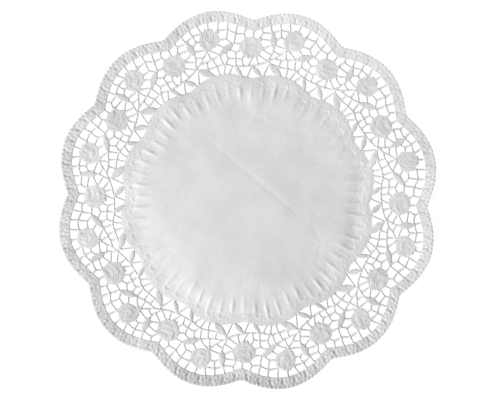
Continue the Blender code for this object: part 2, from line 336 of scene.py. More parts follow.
def distance_to_runs(points: np.ndarray, starts: np.ndarray, ends: np.ndarray) -> np.ndarray:
    """Distance from each point to the nearest of some straight runs.

    Args:
        points: the points to measure from.
        starts: where each run starts.
        ends: where each run ends, which is never where it starts.

    Returns:
        One distance for each point.
    """
    span = ends - starts
    square = (span**2).sum(axis=1)
    found = []
    for part in np.array_split(points, max(1, len(points) // BATCH)):
        off = part[:, None, :] - starts
        share = np.clip((off * span).sum(axis=2) / square, 0, 1)
        found.append(np.linalg.norm(off - share[..., None] * span, axis=2).min(axis=1))
    return np.concatenate(found)


def distance_to_line(points: np.ndarray, line: np.ndarray) -> np.ndarray:
    """Distance from each point to a line of joined runs."""
    return distance_to_runs(points, line[:-1], line[1:])


def smoothstep(value: np.ndarray, low: float, high: float) -> np.ndarray:
    """A soft step from 0 at low to 1 at high."""
    share = np.clip((value - low) / (high - low), 0, 1)
    return share * share * (3 - 2 * share)


def band(value: np.ndarray, rise: Span, fall: Span) -> np.ndarray:
    """1 between a soft rise and a soft fall, and 0 beyond them."""
    return smoothstep(value, *rise) * (1 - smoothstep(value, *fall))


def hump(value: np.ndarray, middle: float, reach: float) -> np.ndarray:
    """A soft hump of height 1."""
    return np.exp(-(((value - middle) / reach) ** 2))


def signed_area(loop: np.ndarray) -> float:
    """Area inside a loop, above zero if it runs counter-clockwise."""
    beyond = np.roll(loop, -1, axis=0)
    return float((loop[:, 0] * beyond[:, 1] - loop[:, 1] * beyond[:, 0]).sum()) / 2


def filled(
    loops: list[np.ndarray], points: np.ndarray | None = None
) -> tuple[np.ndarray, np.ndarray, list[int]]:
    """The triangles inside the first loop and outside the others.

    Args:
        loops: counter-clockwise loops.
        points: loose points to be worked in.

    Returns:
        The corners, the triangles, and each corner's place in the loops and points, or -1 for a new one.
    """
    corners = np.concatenate([*loops] + ([] if points is None else [points]))
    ends = np.cumsum([len(loop) for loop in loops])
    faces = [list(range(end - len(loop), end)) for loop, end in zip(loops, ends)]
    made = delaunay_2d_cdt([Vector(corner) for corner in corners], [], faces, 0, WELD)
    triangles = [triangle for triangle, inside in zip(made[2], made[5]) if inside == [0]]
    sources = [source[0] if source else -1 for source in made[3]]
    return np.array([tuple(corner) for corner in made[0]]), np.array(triangles), sources


def border_loops(triangles: np.ndarray) -> list[list[int]]:
    """Each closed run of the triangles' border.

    Args:
        triangles: the corners' numbers, three for each triangle.

    Returns:
        The corners' numbers along each run, with the triangles on its left.
    """
    edges = {(int(a), int(b)) for t in triangles for a, b in ((t[0], t[1]), (t[1], t[2]), (t[2], t[0]))}
    border = {a: b for a, b in edges if (b, a) not in edges}
    loops = []
    while border:
        corner, beyond = border.popitem()
        loop = [corner]
        while beyond != loop[0]:
            loop.append(beyond)
            beyond = border.pop(beyond)
        loops.append(loop)
    return loops


def seam_runs(loop: np.ndarray) -> np.ndarray:
    """Which runs of a loop, each from a point to the next, lie on one of the first repeat's seams."""
    on_seams = np.abs(np.stack([loop[:, 1], loop @ FAR_SEAM])) < ON_SEAM
    return (on_seams & np.roll(on_seams, -1, axis=1)).any(axis=0)


def along_loop(loop: np.ndarray, cost: np.ndarray, count: int) -> np.ndarray:
    """Points that stand at equal costs along a loop.

    Args:
        loop: the loop's points.
        cost: what each run from a point to the next costs.
        count: how many points are wanted.

    Returns:
        The new loop.
    """
    spent = np.concatenate([[0.0], np.cumsum(cost)])
    closed = np.concatenate([loop, loop[:1]])
    wanted = np.linspace(0, spent[-1], count, endpoint=False)
    return np.stack([np.interp(wanted, spent, closed[:, axis]) for axis in (0, 1)], axis=1)


def rounded_loop(loop: np.ndarray, rounding: float, longest: float, turn: float) -> np.ndarray:
    """A loop with its corners rounded, its points closest together where it bends.

    Args:
        loop: the loop's corners.
        rounding: how far the rounding reaches along the loop.
        longest: the longest straight run that is left.
        turn: how far the loop may turn from one run to the next, in radians.

    Returns:
        The new loop.
    """
    fine_step, fewest_fine, fewest = rounding / 3, 16, 6
    lengths = np.linalg.norm(np.roll(loop, -1, axis=0) - loop, axis=1)
    count = max(fewest_fine, round(float(lengths.sum()) / fine_step))
    fine = along_loop(loop, lengths, count)
    waves = np.fft.fftfreq(count, d=float(lengths.sum()) / count)
    keep = np.exp(-2 * (math.pi * waves * rounding) ** 2)
    fine = np.stack([np.fft.ifft(np.fft.fft(fine[:, axis]) * keep).real for axis in (0, 1)], axis=1)
    runs = np.roll(fine, -1, axis=0) - fine
    heading = np.arctan2(runs[:, 1], runs[:, 0])
    bend = np.abs((heading - np.roll(heading, 1) + math.pi) % (2 * math.pi) - math.pi)
    cost = np.linalg.norm(runs, axis=1) / longest + (bend + np.roll(bend, -1)) / 2 / turn
    return along_loop(fine, cost, max(fewest, math.ceil(float(cost.sum()))))


def spread_out(placed: np.ndarray, candidates: list[tuple[np.ndarray, float]]) -> np.ndarray:
    """The candidates that keep their distance from all that is placed before them.

    Args:
        placed: points that are there already.
        candidates: batches of points, each with the distance that its points keep.

    Returns:
        The points that are taken, without those that were there.
    """
    cell = max(apart for _, apart in candidates)
    cells: dict[tuple[int, int], list[Span]] = {}
    for x, y in placed.tolist():
        cells.setdefault((int(x // cell), int(y // cell)), []).append((x, y))
    taken = []
    for points, apart in candidates:
        for x, y in points.tolist():
            i, j = int(x // cell), int(y // cell)
            near = (q for a in (i - 1, i, i + 1) for b in (j - 1, j, j + 1) for q in cells.get((a, b), ()))
            if all((x - px) ** 2 + (y - py) ** 2 >= apart**2 for px, py in near):
                cells.setdefault((i, j), []).append((x, y))
                taken.append((x, y))
    return np.array(taken)


@dataclass(frozen=True)
class ScallopedEdge:
    """An edge that bows out from a notch radius to a peak radius once in each repeat."""

    notch: float
    peak: float
    rounding: float = 0.06
    beads: int = 0
    bead_reach: float = 0.0
    stops: int = 301

    def bow(self, bearing: np.ndarray) -> np.ndarray:
        """The radius at some bearings, without the beads."""
        bow = np.hypot(np.sin(np.pi * bearing / PITCH), self.rounding) - self.rounding
        return self.notch + (self.peak - self.notch) * bow / (math.hypot(1, self.rounding) - self.rounding)

    def radius(self, bearing: np.ndarray) -> np.ndarray:
        """The edge's radius at some bearings."""
        swell = np.abs(np.cos(np.pi * self.beads * self.share(bearing))) if self.beads else 0
        return self.bow(bearing) + self.bead_reach * (swell - 0.5)

    def share(self, bearing: np.ndarray) -> np.ndarray:
        """How far along the edge some bearings are.

        Args:
            bearing: the bearings.

        Returns:
            The edge's length up to each, counted in repeats.
        """
        stops = np.linspace(0, PITCH, self.stops)
        steps = np.diff(polar(stops, self.bow(stops)), axis=0)
        length = np.concatenate([[0], np.cumsum(np.linalg.norm(steps, axis=1))])
        turns, rest = np.divmod(bearing, PITCH)
        return turns + np.interp(rest, stops, length / length[-1])


@dataclass
class LaceChart:
    """The cut-out net of the whole sheet, drawn from the chart of one repeat."""

    rim: ScallopedEdge = ScallopedEdge(140.8, 150.0)
    net: ScallopedEdge = ScallopedEdge(131.5, 141.5)
    plate: ScallopedEdge = ScallopedEdge(95.5, 100.5)
    thread_gain: float = 1.58
    stem_gain: float = 1.08
    path_step: float = 2.0
    edge_step: float = 0.75
    tip_spread: float = 11.0
    tip_gain: float = 1.4
    rose_sides: int = 48
    leaf_steps: int = 14
    leaf_fullness: float = 0.65
    leaf_gain: float = 1.15
    rounding: float = 0.6
    least_gap: float = 1.0
    longest_run: float = 1.35
    run_turn: float = 0.55

    def edge_loop(self, edge: ScallopedEdge) -> np.ndarray:
        """The whole of a scalloped edge, counter-clockwise."""
        bearings = np.arange(0, 360, self.edge_step)
        return polar(bearings, edge.radius(bearings))

    def leaf_half_width(self, leaf: Leaf, share: np.ndarray) -> np.ndarray:
        """Half a leaf's width, by the share of the way from its tip to its foot."""
        return leaf.width * self.leaf_gain / 2 * np.sin(np.pi * share) ** self.leaf_fullness

    def strand_outlines(self, strand: Strand) -> list[np.ndarray]:
        """A rectangle for each straight run of a strand, a little longer than the run.

        Args:
            strand: the strand's chart entry.

        Returns:
            The rectangles, counter-clockwise.
        """
        corners = np.array([polar(*place) for place in strand.path])
        stem = strand.width > THREAD
        line = smooth_path(corners, self.path_step) if stem else corners
        width = strand.width * (self.stem_gain if stem else self.thread_gain)
        outlines = []
        for start, end in zip(line, line[1:]):
            along = (end - start) / np.linalg.norm(end - start) * width / 2
            aside = np.array([along[1], -along[0]])
            start, end = start - along / 2, end + along / 2
            outlines.append(np.array([start + aside, end + aside, end - aside, start - aside]))
        return outlines

    def leaf_outline(self, leaf: Leaf) -> np.ndarray:
        """A leaf's outline.

        Args:
            leaf: the leaf's chart entry.

        Returns:
            The outline, counter-clockwise from the tip.
        """
        tip, foot = leaf.ends(0.0)
        along = (foot - tip) / np.linalg.norm(foot - tip)
        share = np.linspace(0, 1, self.leaf_steps + 1)[1:-1, None]
        middle = tip + (foot - tip) * share
        wide = np.array([along[1], -along[0]]) * self.leaf_half_width(leaf, share)
        return np.concatenate([[tip], middle + wide, [foot], (middle - wide)[::-1]])

    def rose_outline(self, rose: Rose) -> np.ndarray:
        """A rose's outline, with a corner at each pointed tip.

        Args:
            rose: the rose's chart entry.

        Returns:
            The outline, counter-clockwise.
        """
        step = 360 / self.rose_sides
        clocks = np.arange(self.rose_sides) * 360 / self.rose_sides
        tips = np.array([tip % 360 for tip, _ in rose.tips])
        clear = np.abs(clocks[:, None] - tips).min(axis=1) > step / 2
        clocks = np.sort(np.concatenate([clocks[clear], tips]))
        angle = np.radians(clocks)
        along, aside = rose.along / 2 * np.cos(angle), rose.across / 2 * np.sin(angle)
        size = np.hypot(along, aside)
        for tip, reach in rose.tips:
            off = (clocks - tip + 180) % 360 - 180
            size = size + np.clip(1 - np.abs(off) / self.tip_spread, 0, 1) * reach * self.tip_gain
        heading = rose.bearing + np.degrees(np.arctan2(aside, along))
        return polar(rose.bearing, rose.radius) + polar(heading, size)

    def outlines(self) -> list[np.ndarray]:
        """All that stays paper inside the rim.

        Returns:
            The outlines of the plate and of all the repeats' roses, leaves and strands.
        """
        first = [self.rose_outline(rose) for rose in ROSES] + [self.leaf_outline(leaf) for leaf in LEAVES]
        first += [outline for strand in STRANDS for outline in self.strand_outlines(strand)]
        every = [turned(outline, PITCH * repeat) for repeat in range(REPEATS) for outline in first]
        return [self.edge_loop(self.plate), *every]

    def gaps(self) -> list[np.ndarray]:
        """The gaps that belong to the first repeat.

        Returns:
            Their rounded outlines, counter-clockwise.
        """
        corners, triangles, _ = filled([self.edge_loop(self.net), *self.outlines()])
        gaps = []
        for loop in border_loops(triangles):
            outline = corners[loop]
            bearing = bearings_of(outline.mean(axis=0, keepdims=True))[0]
            if 0 <= bearing < PITCH and signed_area(outline) > self.least_gap:
                gaps.append(rounded_loop(outline, self.rounding, self.longest_run, self.run_turn))
        return gaps


class Relief(NamedTuple):
    """The embossing at some points.

    lift is how far each is raised, flute how far a flute raises it on top of that, pressed how much
    darker the paper's colour is painted there, from -0.5 for painted highlight on a crest to 1 for painted
    shade, with a darker tone over roses, leaves and rim, grain how rough its face is, from 0 to 1,
    broad 1 in the rim, roses, leaves and plain middle, and 0 in threads and stems, whorl how far a point of a
    rose is from the rose's heart, and petals 1 inside a rose.
    """

    lift: np.ndarray
    flute: np.ndarray
    pressed: np.ndarray
    grain: np.ndarray
    broad: np.ndarray
    whorl: np.ndarray
    petals: np.ndarray

    @classmethod
    def flat(cls, count: int) -> Relief:
        """No relief at all, at a number of points."""
        return cls(*(np.zeros(count) for _ in cls._fields))


class Row(NamedTuple):
    """A row of even marks along the rim.

    count is how many stand in a scallop, or 0 for a plain cord, inset how far in from the edge the row runs,
    reach its half width, and height how high it stands at a notch, under zero where a hollow is there.
    """

    count: int
    inset: float
    reach: float
    height: float

    def lift(self, share: np.ndarray, inset: np.ndarray) -> np.ndarray:
        """How far the row is raised, by the share along the rim and the distance from its edge."""
        return self.height * np.cos(2 * np.pi * share * self.count) * hump(inset, self.inset, self.reach)


class Spot(NamedTuple):
    """A round mark: its place aside and in from the edge, and its half width each way."""

    aside: float
    inset: float
    across: float
    along: float

    def at(self, aside: np.ndarray, inset: np.ndarray) -> np.ndarray:
        """How much of the mark is at some places, 1 in its middle."""
        return hump(aside, self.aside, self.across) * hump(inset, self.inset, self.along)


@dataclass
class Embossing:
    """All that is embossed into the sheet, with the painted shade, painted highlight and tone that go with
    it, and comes back in each repeat.
    """

    chart: LaceChart
    crown: float = 0.15
    broad_crown: float = 0.03
    crown_width: float = 0.55
    # painted shade along broad parts' cut edges, painted light along the edges of threads and stems, and how
    # far in both reach
    edge_shade: float = 0.02
    thread_edge_light: float = -0.1
    painted_edge_width: float = 0.5
    tone_limits: Span = (-0.6, 1.2)

    rose_margin: float = 2.0
    rose_near: float = 1.25
    rose_dome: float = 0.1
    rose_dome_span: Span = (0.2, 1.0)
    rose_edge: Span = (0.85, 1.0)
    rose_tone: float = 0.07
    rose_grain: float = 0.25
    fold_step: float = 0.8
    fold_gain: float = 0.2
    # painted highlight on the rose's ridges and painted shade in its creases
    fold_shade: float = 0.06

    leaf_dome: float = 0.2
    leaf_tone: float = 0.13
    leaf_edge: Span = (-0.2, 0.5)
    leaf_least: float = 0.4

    rim_overlap: float = 0.8
    beads: int = 23
    bead: Spot = Spot(0.0, 1.1, 0.95, 1.05)
    bead_height: float = 0.33
    # painted shade on each bead
    bead_shade: float = 0.15
    rows: tuple[Row, ...] = (Row(25, 6.9, 0.85, -0.12), Row(24, 4.8, 1.15, 0.08), Row(0, 4.2, 0.75, 0.09))
    rings: int = 8
    ring_inset: float = 4.3
    ring_size: Span = (2.45, 1.8)
    ring_band: float = 0.32
    ring_height: float = 0.15
    slot_width: float = 0.85
    slot_ends: tuple[Span, Span] = ((1.4, 3.0), (6.8, 8.4))
    slot_depth: float = 0.2
    # painted shade in each slot
    slot_shade: float = 0.2
    eye: Spot = Spot(2.2, 4.1, 0.9, 0.9)
    # painted shade in each ring's eye, a spot with no hollow of its own
    eye_shade: float = 0.1
    rim_tone: float = 0.03
    rim_grain: float = 0.6

    flutes: int = 5
    flute_height: float = 0.34
    flute_width: float = 1.25
    flute_ends: tuple[Span, Span] = ((8.4, 10.4), (13.0, 25.0))
    flute_start: float = 0.75
    flute_swell: Span = (9.0, 13.5)
    arch: tuple[Span, ...] = ((-5.0, 7.6), (-4.5, 6.0), (-2.8, 5.0), (-1.2, 5.4), (-0.1, 6.6), (0.3, 9.0))
    arch_step: float = 0.6
    arch_width: float = 0.75
    arch_share: float = 0.52
    # painted highlight along the raised arches
    arch_highlight: float = -0.03
    dot: Spot = Spot(-3.0, 7.5, 1.1, 0.9)
    dot_share: float = 0.35
    border_inset: float = 1.7
    border_width: float = 0.45
    border_depth: float = 0.06
    # painted shade in the border groove
    border_shade: float = 0.06
    plate_ring_ends: tuple[Span, Span] = ((6.0, 9.0), (26.0, 40.0))
    plate_ring_tone: float = -0.05
    plate_grain_ends: tuple[Span, Span] = ((1.0, 2.0), (17.0, 25.0))
    plate_grain_loss: float = 0.6
    plate_grain_wane: Span = (8.0, 14.0)
    plate_edge: Span = (-0.6, 0.2)

    def folds_at(self, places: np.ndarray, folds: tuple[Fold, ...]) -> np.ndarray:
        """How far some folds raise the paper.

        Args:
            places: (right, out) places by a rose's mark.
            folds: the rose's folds.

        Returns:
            The highest ridge at each place, less the deepest crease.
        """
        ridges, creases = np.zeros(len(places)), np.zeros(len(places))
        for fold in folds:
            shape = hump(distance_to_line(places, smooth_path(fold.path, self.fold_step)), 0, fold.width)
            kind = ridges if fold.height > 0 else creases
            np.maximum(kind, abs(fold.height) * shape, out=kind)
        return ridges - creases

    def press_rose(self, relief: Relief, points: np.ndarray, rose: Rose, posy: Posy, turn: float) -> None:
        """Adds the dome, petal edges and creases of one rose.

        Args:
            relief: what they are added to.
            points: points in the first repeat.
            rose: the rose's chart entry.
            posy: its folds.
            turn: the bearing that the rose is turned by.
        """
        wide, high = rose.across / 2 + self.rose_margin, rose.along / 2 + self.rose_margin
        reach = np.linalg.norm(seen_from(points, rose.bearing + turn, rose.radius) / (wide, high), axis=1)
        near = np.flatnonzero(reach < self.rose_near)
        if not len(near):
            return
        reach = reach[near]
        at_mark = seen_from(points[near], posy.bearing + turn, posy.radius)
        folds = self.folds_at(at_mark, posy.folds)
        inside = 1 - smoothstep(reach, *self.rose_edge)
        dome = 1 - smoothstep(reach, *self.rose_dome_span)
        relief.lift[near] += self.rose_dome * dome + self.fold_gain * folds
        # A darker tone over the rose, with painted highlight on its ridges and painted shade in its creases.
        relief.pressed[near] += self.rose_tone * inside - self.fold_shade * folds
        right, out = (at_mark - posy.heart).T
        whorl = np.hypot(right, out / posy.stretch)
        relief.whorl[near] = np.where(inside > relief.petals[near], whorl, relief.whorl[near])
        for values, share in ((relief.grain, self.rose_grain), (relief.petals, 1.0), (relief.broad, 1.0)):
            values[near] = np.maximum(values[near], share * inside)

    def press_leaf(self, relief: Relief, points: np.ndarray, leaf: Leaf, turn: float) -> None:
        """Adds the dome of one leaf.

        Args:
            relief: what it is added to.
            points: points in the first repeat.
            leaf: the leaf's chart entry.
            turn: the bearing that the leaf is turned by.
        """
        tip, foot = leaf.ends(turn)
        length = float(np.linalg.norm(foot - tip))
        along = (foot - tip) / length
        down = (points - tip) @ along
        aside = np.abs((points - tip) @ np.array([along[1], -along[0]]))
        half = self.chart.leaf_half_width(leaf, np.clip(down / length, 0, 1))
        inside = smoothstep(half - aside, *self.leaf_edge) * (down > 0) * (down < length)
        dome = np.sqrt(1 - np.clip(aside / np.maximum(half, self.leaf_least), 0, 1) ** 2)
        relief.lift[:] += self.leaf_dome * inside * dome
        relief.pressed[:] += self.leaf_tone * inside
        relief.broad[:] = np.maximum(relief.broad, inside)

    def press_rim(self, relief: Relief, bearing: np.ndarray, radius: np.ndarray) -> None:
        """Adds the rim's beads and ribs, and its row of oval rings with a slot between each two.

        Args:
            relief: what they are added to.
            bearing: the points' bearings.
            radius: the points' radii.
        """
        rim = self.chart.rim
        inset, share = rim.radius(bearing) - radius, rim.share(bearing)
        inner = rim.radius(bearing) - self.chart.net.radius(bearing)
        on_rim = smoothstep(inner + self.rim_overlap / 2 - inset, 0, self.rim_overlap)
        length = math.radians(PITCH) * rim.radius(np.array([PITCH / 4]))[0]
        off_bead, off_ring = (
            np.abs((share * count + 0.5) % 1 - 0.5) * length / count for count in (self.beads, self.rings)
        )
        beads, eyes = self.bead.at(off_bead, inset), self.eye.at(off_ring, inset)
        wide, high = self.ring_size
        rings = hump(np.hypot(off_ring / wide, (inset - self.ring_inset) / high), 1, self.ring_band)
        slots = hump(off_ring, length / self.rings / 2, self.slot_width) * band(inset, *self.slot_ends)
        raised = self.bead_height * beads + self.ring_height * rings - self.slot_depth * slots
        relief.lift[:] += on_rim * (raised + sum(row.lift(share, inset) for row in self.rows))
        # Painted shade on the beads, in the slots and in each ring's eye, with a darker tone over the whole
        # rim.
        pressed = self.bead_shade * beads + self.slot_shade * slots + self.eye_shade * eyes
        relief.pressed[:] += on_rim * (self.rim_tone + pressed)
        relief.grain[:] = np.maximum(relief.grain, self.rim_grain * on_rim)
        relief.broad[:] = np.maximum(relief.broad, on_rim)

    def press_flutes(self, relief: Relief, bearing: np.ndarray, radius: np.ndarray) -> None:
        """Adds the flutes of the plain middle, each with a hooked arch beyond its outer end.

        Args:
            relief: what they are added to.
            bearing: the points' bearings.
            radius: the points' radii.
        """
        step = PITCH / self.flutes
        centre = np.round(bearing / step) * step
        right = -np.radians(bearing - centre) * radius
        inset = self.chart.plate.radius(centre) - radius
        swell = self.flute_start + (1 - self.flute_start) * smoothstep(inset, *self.flute_swell)
        ridge = band(inset, *self.flute_ends) * swell * hump(right, 0, self.flute_width)
        off_arch = distance_to_line(np.stack([right, inset], axis=1), smooth_path(self.arch, self.arch_step))
        arch = hump(off_arch, 0, self.arch_width)
        dot = self.dot.at(right, inset)
        raised = np.maximum(ridge, self.arch_share * arch) - self.dot_share * dot
        relief.flute[:] += self.flute_height * raised
        edge = self.chart.plate.radius(bearing) - radius
        border = hump(edge, self.border_inset, self.border_width)
        relief.lift[:] -= self.border_depth * border
        ring = band(edge, *self.plate_ring_ends)
        # Painted shade in the border groove, painted highlight along the arches, and a lighter ring over the
        # fluted part of the plate.
        relief.pressed[:] += self.border_shade * border + self.arch_highlight * arch + self.plate_ring_tone * ring
        wane = 1 - self.plate_grain_loss * smoothstep(edge, *self.plate_grain_wane)
        relief.grain[:] = np.maximum(relief.grain, band(edge, *self.plate_grain_ends) * wane)
        relief.broad[:] = np.maximum(relief.broad, smoothstep(edge, *self.plate_edge))

    def at(self, points: np.ndarray, from_edge: np.ndarray) -> Relief:
        """The whole relief.

        Args:
            points: points on the sheet.
            from_edge: the distance from each to the nearest cut edge.

        Returns:
            The relief at the points.
        """
        bearing, radius = bearings_of(points) % PITCH, np.linalg.norm(points, axis=1)
        points = polar(bearing, radius)
        relief = Relief.flat(len(points))
        self.press_rim(relief, bearing, radius)
        self.press_flutes(relief, bearing, radius)
        for turn in NEIGHBOURS:
            for rose, posy in zip(ROSES, POSIES):
                self.press_rose(relief, points, rose, posy, turn)
            for leaf in LEAVES:
                self.press_leaf(relief, points, leaf, turn)
        crown = self.crown + (self.broad_crown - self.crown) * relief.broad
        relief.lift[:] += crown * np.sqrt(1 - (1 - np.clip(from_edge / self.crown_width, 0, 1)) ** 2)
        # Painted shade along broad parts' cut edges, and painted light that makes the edges of threads and
        # stems lighter.
        edge_paint = self.thread_edge_light + (self.edge_shade - self.thread_edge_light) * relief.broad
        thread_edge_lightening = np.where(relief.broad < 0.5, np.minimum(edge_paint, 0), 0)
        edge = hump(from_edge, 0, self.painted_edge_width)
        relief.pressed[:] += edge * (np.maximum(edge_paint - relief.pressed, 0) + thread_edge_lightening)
        relief.pressed[:] = np.clip(relief.pressed, *self.tone_limits)
        return relief


@dataclass
class Cut:
    """The cut edges of one repeat, as straight runs with the paper on their left, and its border loops."""

    starts: np.ndarray
    ends: np.ndarray
    outlines: list[np.ndarray]
    overlap: float = 4.0

    @classmethod
    def of(cls, loops: list[np.ndarray]) -> Cut:
        """The cut edges of some border loops.

        Args:
            loops: the loops, with the paper on their left.

        Returns:
            Their runs, without those that lie on a seam.
        """
        cut = [~seam_runs(loop) for loop in loops]
        starts = [loop[kept] for loop, kept in zip(loops, cut)]
        ends = [np.roll(loop, -1, axis=0)[kept] for loop, kept in zip(loops, cut)]
        return cls(np.concatenate(starts), np.concatenate(ends), loops)

    def distance(self, points: np.ndarray) -> np.ndarray:
        """Distance from some points to the nearest cut edge.

        Args:
            points: points in or beside the repeat.

        Returns:
            The distance of each, with the neighbouring repeats' edges taken in.
        """
        starts, ends = (
            np.concatenate([turned(run, turn) for turn in NEIGHBOURS]) for run in (self.starts, self.ends)
        )
        bearing = bearings_of(starts)
        near = (bearing > -self.overlap) & (bearing < PITCH + self.overlap)
        return distance_to_runs(points, starts[near], ends[near])

    def on_paper(self, points: np.ndarray) -> np.ndarray:
        """Which points are on the paper.

        Args:
            points: the points.

        Returns:
            True for each that lies inside the outside loop and in no gap.
        """
        inside = np.zeros(len(points), dtype=int)
        x, y = points[:, :1], points[:, 1:]
        for outline in self.outlines:
            x0, y0 = outline.T
            x1, y1 = np.roll(outline, -1, axis=0).T
            spans = (y0 > y) != (y1 > y)
            with np.errstate(divide="ignore", invalid="ignore"):
                crossing = x < x0 + (y - y0) * (x1 - x0) / (y1 - y0)
            inside += (spans & crossing).sum(axis=1)
        return inside % 2 == 1

    def offset(self, away: float) -> np.ndarray:
        """Points on the paper beside the cut edges.

        Args:
            away: their distance from the edges.

        Returns:
            A point beside each run's start, and beside its middle.
        """
        run = self.ends - self.starts
        left = np.stack([-run[:, 1], run[:, 0]], axis=1) / np.linalg.norm(run, axis=1)[:, None]
        return np.concatenate([self.starts + left * away, (self.starts + self.ends) / 2 + left * away])


class Spacing(NamedTuple):
    """How far points keep from every cut edge, and from each other."""

    clear: float
    apart: float


@dataclass
class SheetRepeat:
    """One repeat of the sheet as a mesh, open along the two seams where the next ones follow."""

    chart: LaceChart
    embossing: Embossing
    rim: ScallopedEdge = ScallopedEdge(140.8, 150.0, beads=23, bead_reach=0.55)
    thickness: float = 0.28
    rim_step: float = 0.6
    rim_grid: float = 0.66
    rim_zone: float = -38.0
    lace_step: float = 0.76
    lace_zone: float = 1.2
    lace_seam: float = 1.0
    flute_step: float = 1.0
    flute_zone: float = 21.0
    middle_step: float = 5.0
    under_step: float = 1.9
    fold_step: float = 0.7
    grid_span: Span = (152.0, 78.0)
    grid_clear: float = 1.32
    grid_apart: float = 0.8
    seam_clear: float = 0.35
    ring_offset: float = 0.55
    ring_spacing: Spacing = Spacing(0.36, 0.62)
    inner_ring_spacing: Spacing = Spacing(0.95, 0.8)
    fold_spacing: Spacing = Spacing(0.5, 0.5)
    under_spacing: Spacing = Spacing(1.0, 1.2)
    under_middle_spacing: Spacing = Spacing(1.0, 3.5)
    under_reach: float = 1.1
    under_lowest: float = -0.3
    under_raised: float = 0.6
    under_sunk: float = 1.6
    under_fluted: float = 0.9
    sharp_from: float = 0.6

    def plate_inset(self, points: np.ndarray) -> np.ndarray:
        """How far some points are inside the edge of the plain middle."""
        return self.chart.plate.radius(bearings_of(points)) - np.linalg.norm(points, axis=1)

    def seam_radii(self) -> np.ndarray:
        """Where the seams have their points.

        Returns:
            Their radii, from the middle outwards.
        """
        plate, rim = self.chart.plate.notch, float(self.rim.radius(np.array([0.0]))[0])
        zones = (
            (0.0, plate - self.flute_zone, self.middle_step),
            (plate - self.flute_zone, plate - self.lace_seam, self.flute_step),
            (plate - self.lace_seam, rim, self.lace_step),
        )
        runs = [(low, high, max(1, round((high - low) / step))) for low, high, step in zones]
        return np.concatenate([np.linspace(*run, endpoint=False) for run in runs])

    def wedge(self) -> np.ndarray:
        """The repeat with nothing cut out.

        Returns:
            Its outline, counter-clockwise.
        """
        radii = self.seam_radii()
        length = math.radians(PITCH) * self.chart.rim.peak
        bearings = np.linspace(0, PITCH, round(length / self.rim_step))
        edge = polar(bearings, self.rim.radius(bearings))
        return np.concatenate([polar(0.0, radii), edge, polar(PITCH, radii[:0:-1])])

    def frame(self) -> list[np.ndarray]:
        """The border of the paper in the wedge.

        Returns:
            Its outside, then each gap, with the paper on the left.
        """
        gaps = [turned(gap, turn) for gap in self.chart.gaps() for turn in NEIGHBOURS]
        bearings = [bearings_of(gap) for gap in gaps]
        gaps = [gap for gap, at in zip(gaps, bearings) if (at > 0).any() and (at < PITCH).any()]
        corners, triangles, _ = filled([self.wedge(), *gaps])
        loops = [corners[loop] for loop in border_loops(triangles)]
        return sorted(loops, key=signed_area, reverse=True)

    def hex_grid(self, step: float) -> np.ndarray:
        """A triangular grid over the wedge.

        Args:
            step: how far apart its points are.

        Returns:
            Its points.
        """
        row = step * math.sqrt(3) / 2
        counts = self.grid_span[0] / step, self.grid_span[1] / row
        across, up = np.meshgrid(*map(np.arange, counts))
        return np.stack([(across + (up % 2) / 2) * step, (up + 0.5) * row], axis=-1).reshape(-1, 2)

    def paper_points(self, points: np.ndarray, cut: Cut, clear: float) -> np.ndarray:
        """The points that lie well on the paper.

        Args:
            points: the points to choose from.
            cut: the cut edges.
            clear: how far the points have to be from every cut edge.

        Returns:
            Those of the points.
        """
        within = np.linalg.norm(points, axis=1) < self.rim.radius(bearings_of(points))
        points = points[within & (points[:, 1] > self.seam_clear) & (points @ FAR_SEAM < -self.seam_clear)]
        return points[cut.on_paper(points) & (cut.distance(points) > clear)]

    def zone_grid(self, cut: Cut) -> list[tuple[np.ndarray, float]]:
        """Grids for the rim, the lace, the fluted ring and the middle.

        Args:
            cut: the cut edges.

        Returns:
            The points of each, with the distance that they keep.
        """
        steps = (self.rim_grid, self.lace_step, self.flute_step, self.middle_step)
        bounds = (-math.inf, self.rim_zone, self.lace_zone, self.flute_zone, math.inf)
        grids = []
        for step, low, high in zip(steps, bounds, bounds[1:]):
            points = self.hex_grid(step)
            inset = self.plate_inset(points)
            points = points[(inset > low) & (inset <= high)]
            grids.append((self.paper_points(points, cut, self.grid_clear), step * self.grid_apart))
        return grids

    def fold_points(self) -> np.ndarray:
        """Points along the folds of the repeat's roses.

        Returns:
            The points, and those of the next repeat, which reaches over the seam.
        """
        marks = []
        for turn in (0.0, PITCH):
            for posy in POSIES:
                out = polar(posy.bearing + turn, 1.0)
                right = np.array([out[1], -out[0]])
                lines = [smooth_path(fold.path, self.fold_step) for fold in posy.folds]
                marks += [line[:, :1] * right + (line[:, 1:] + posy.radius) * out for line in lines]
        return np.concatenate(marks)

    def face_points(self, corners: np.ndarray, cut: Cut) -> np.ndarray:
        """The face's loose points: rings along the cut edges, the roses' folds, and the grids.

        Args:
            corners: the points of the border.
            cut: the cut edges.

        Returns:
            The points.
        """
        batches = [
            (self.paper_points(points, cut, spacing.clear), spacing.apart)
            for points, spacing in (
                (cut.offset(self.ring_offset), self.ring_spacing),
                (self.fold_points(), self.fold_spacing),
                (cut.offset(2 * self.ring_offset), self.inner_ring_spacing),
            )
        ]
        return spread_out(corners, batches + self.zone_grid(cut))

    def under_points(self, corners: np.ndarray, cut: Cut) -> np.ndarray:
        """The underside's loose points, far apart in the middle.

        Args:
            corners: the points of the border.
            cut: the cut edges.

        Returns:
            The points.
        """
        near, middle = self.under_spacing, self.under_middle_spacing
        grid = self.paper_points(self.hex_grid(self.under_step), cut, near.clear)
        grid = grid[self.plate_inset(grid) <= self.flute_zone]
        coarse = self.paper_points(self.hex_grid(self.middle_step), cut, middle.clear)
        return spread_out(corners, [(grid, near.apart), (coarse, middle.apart)])

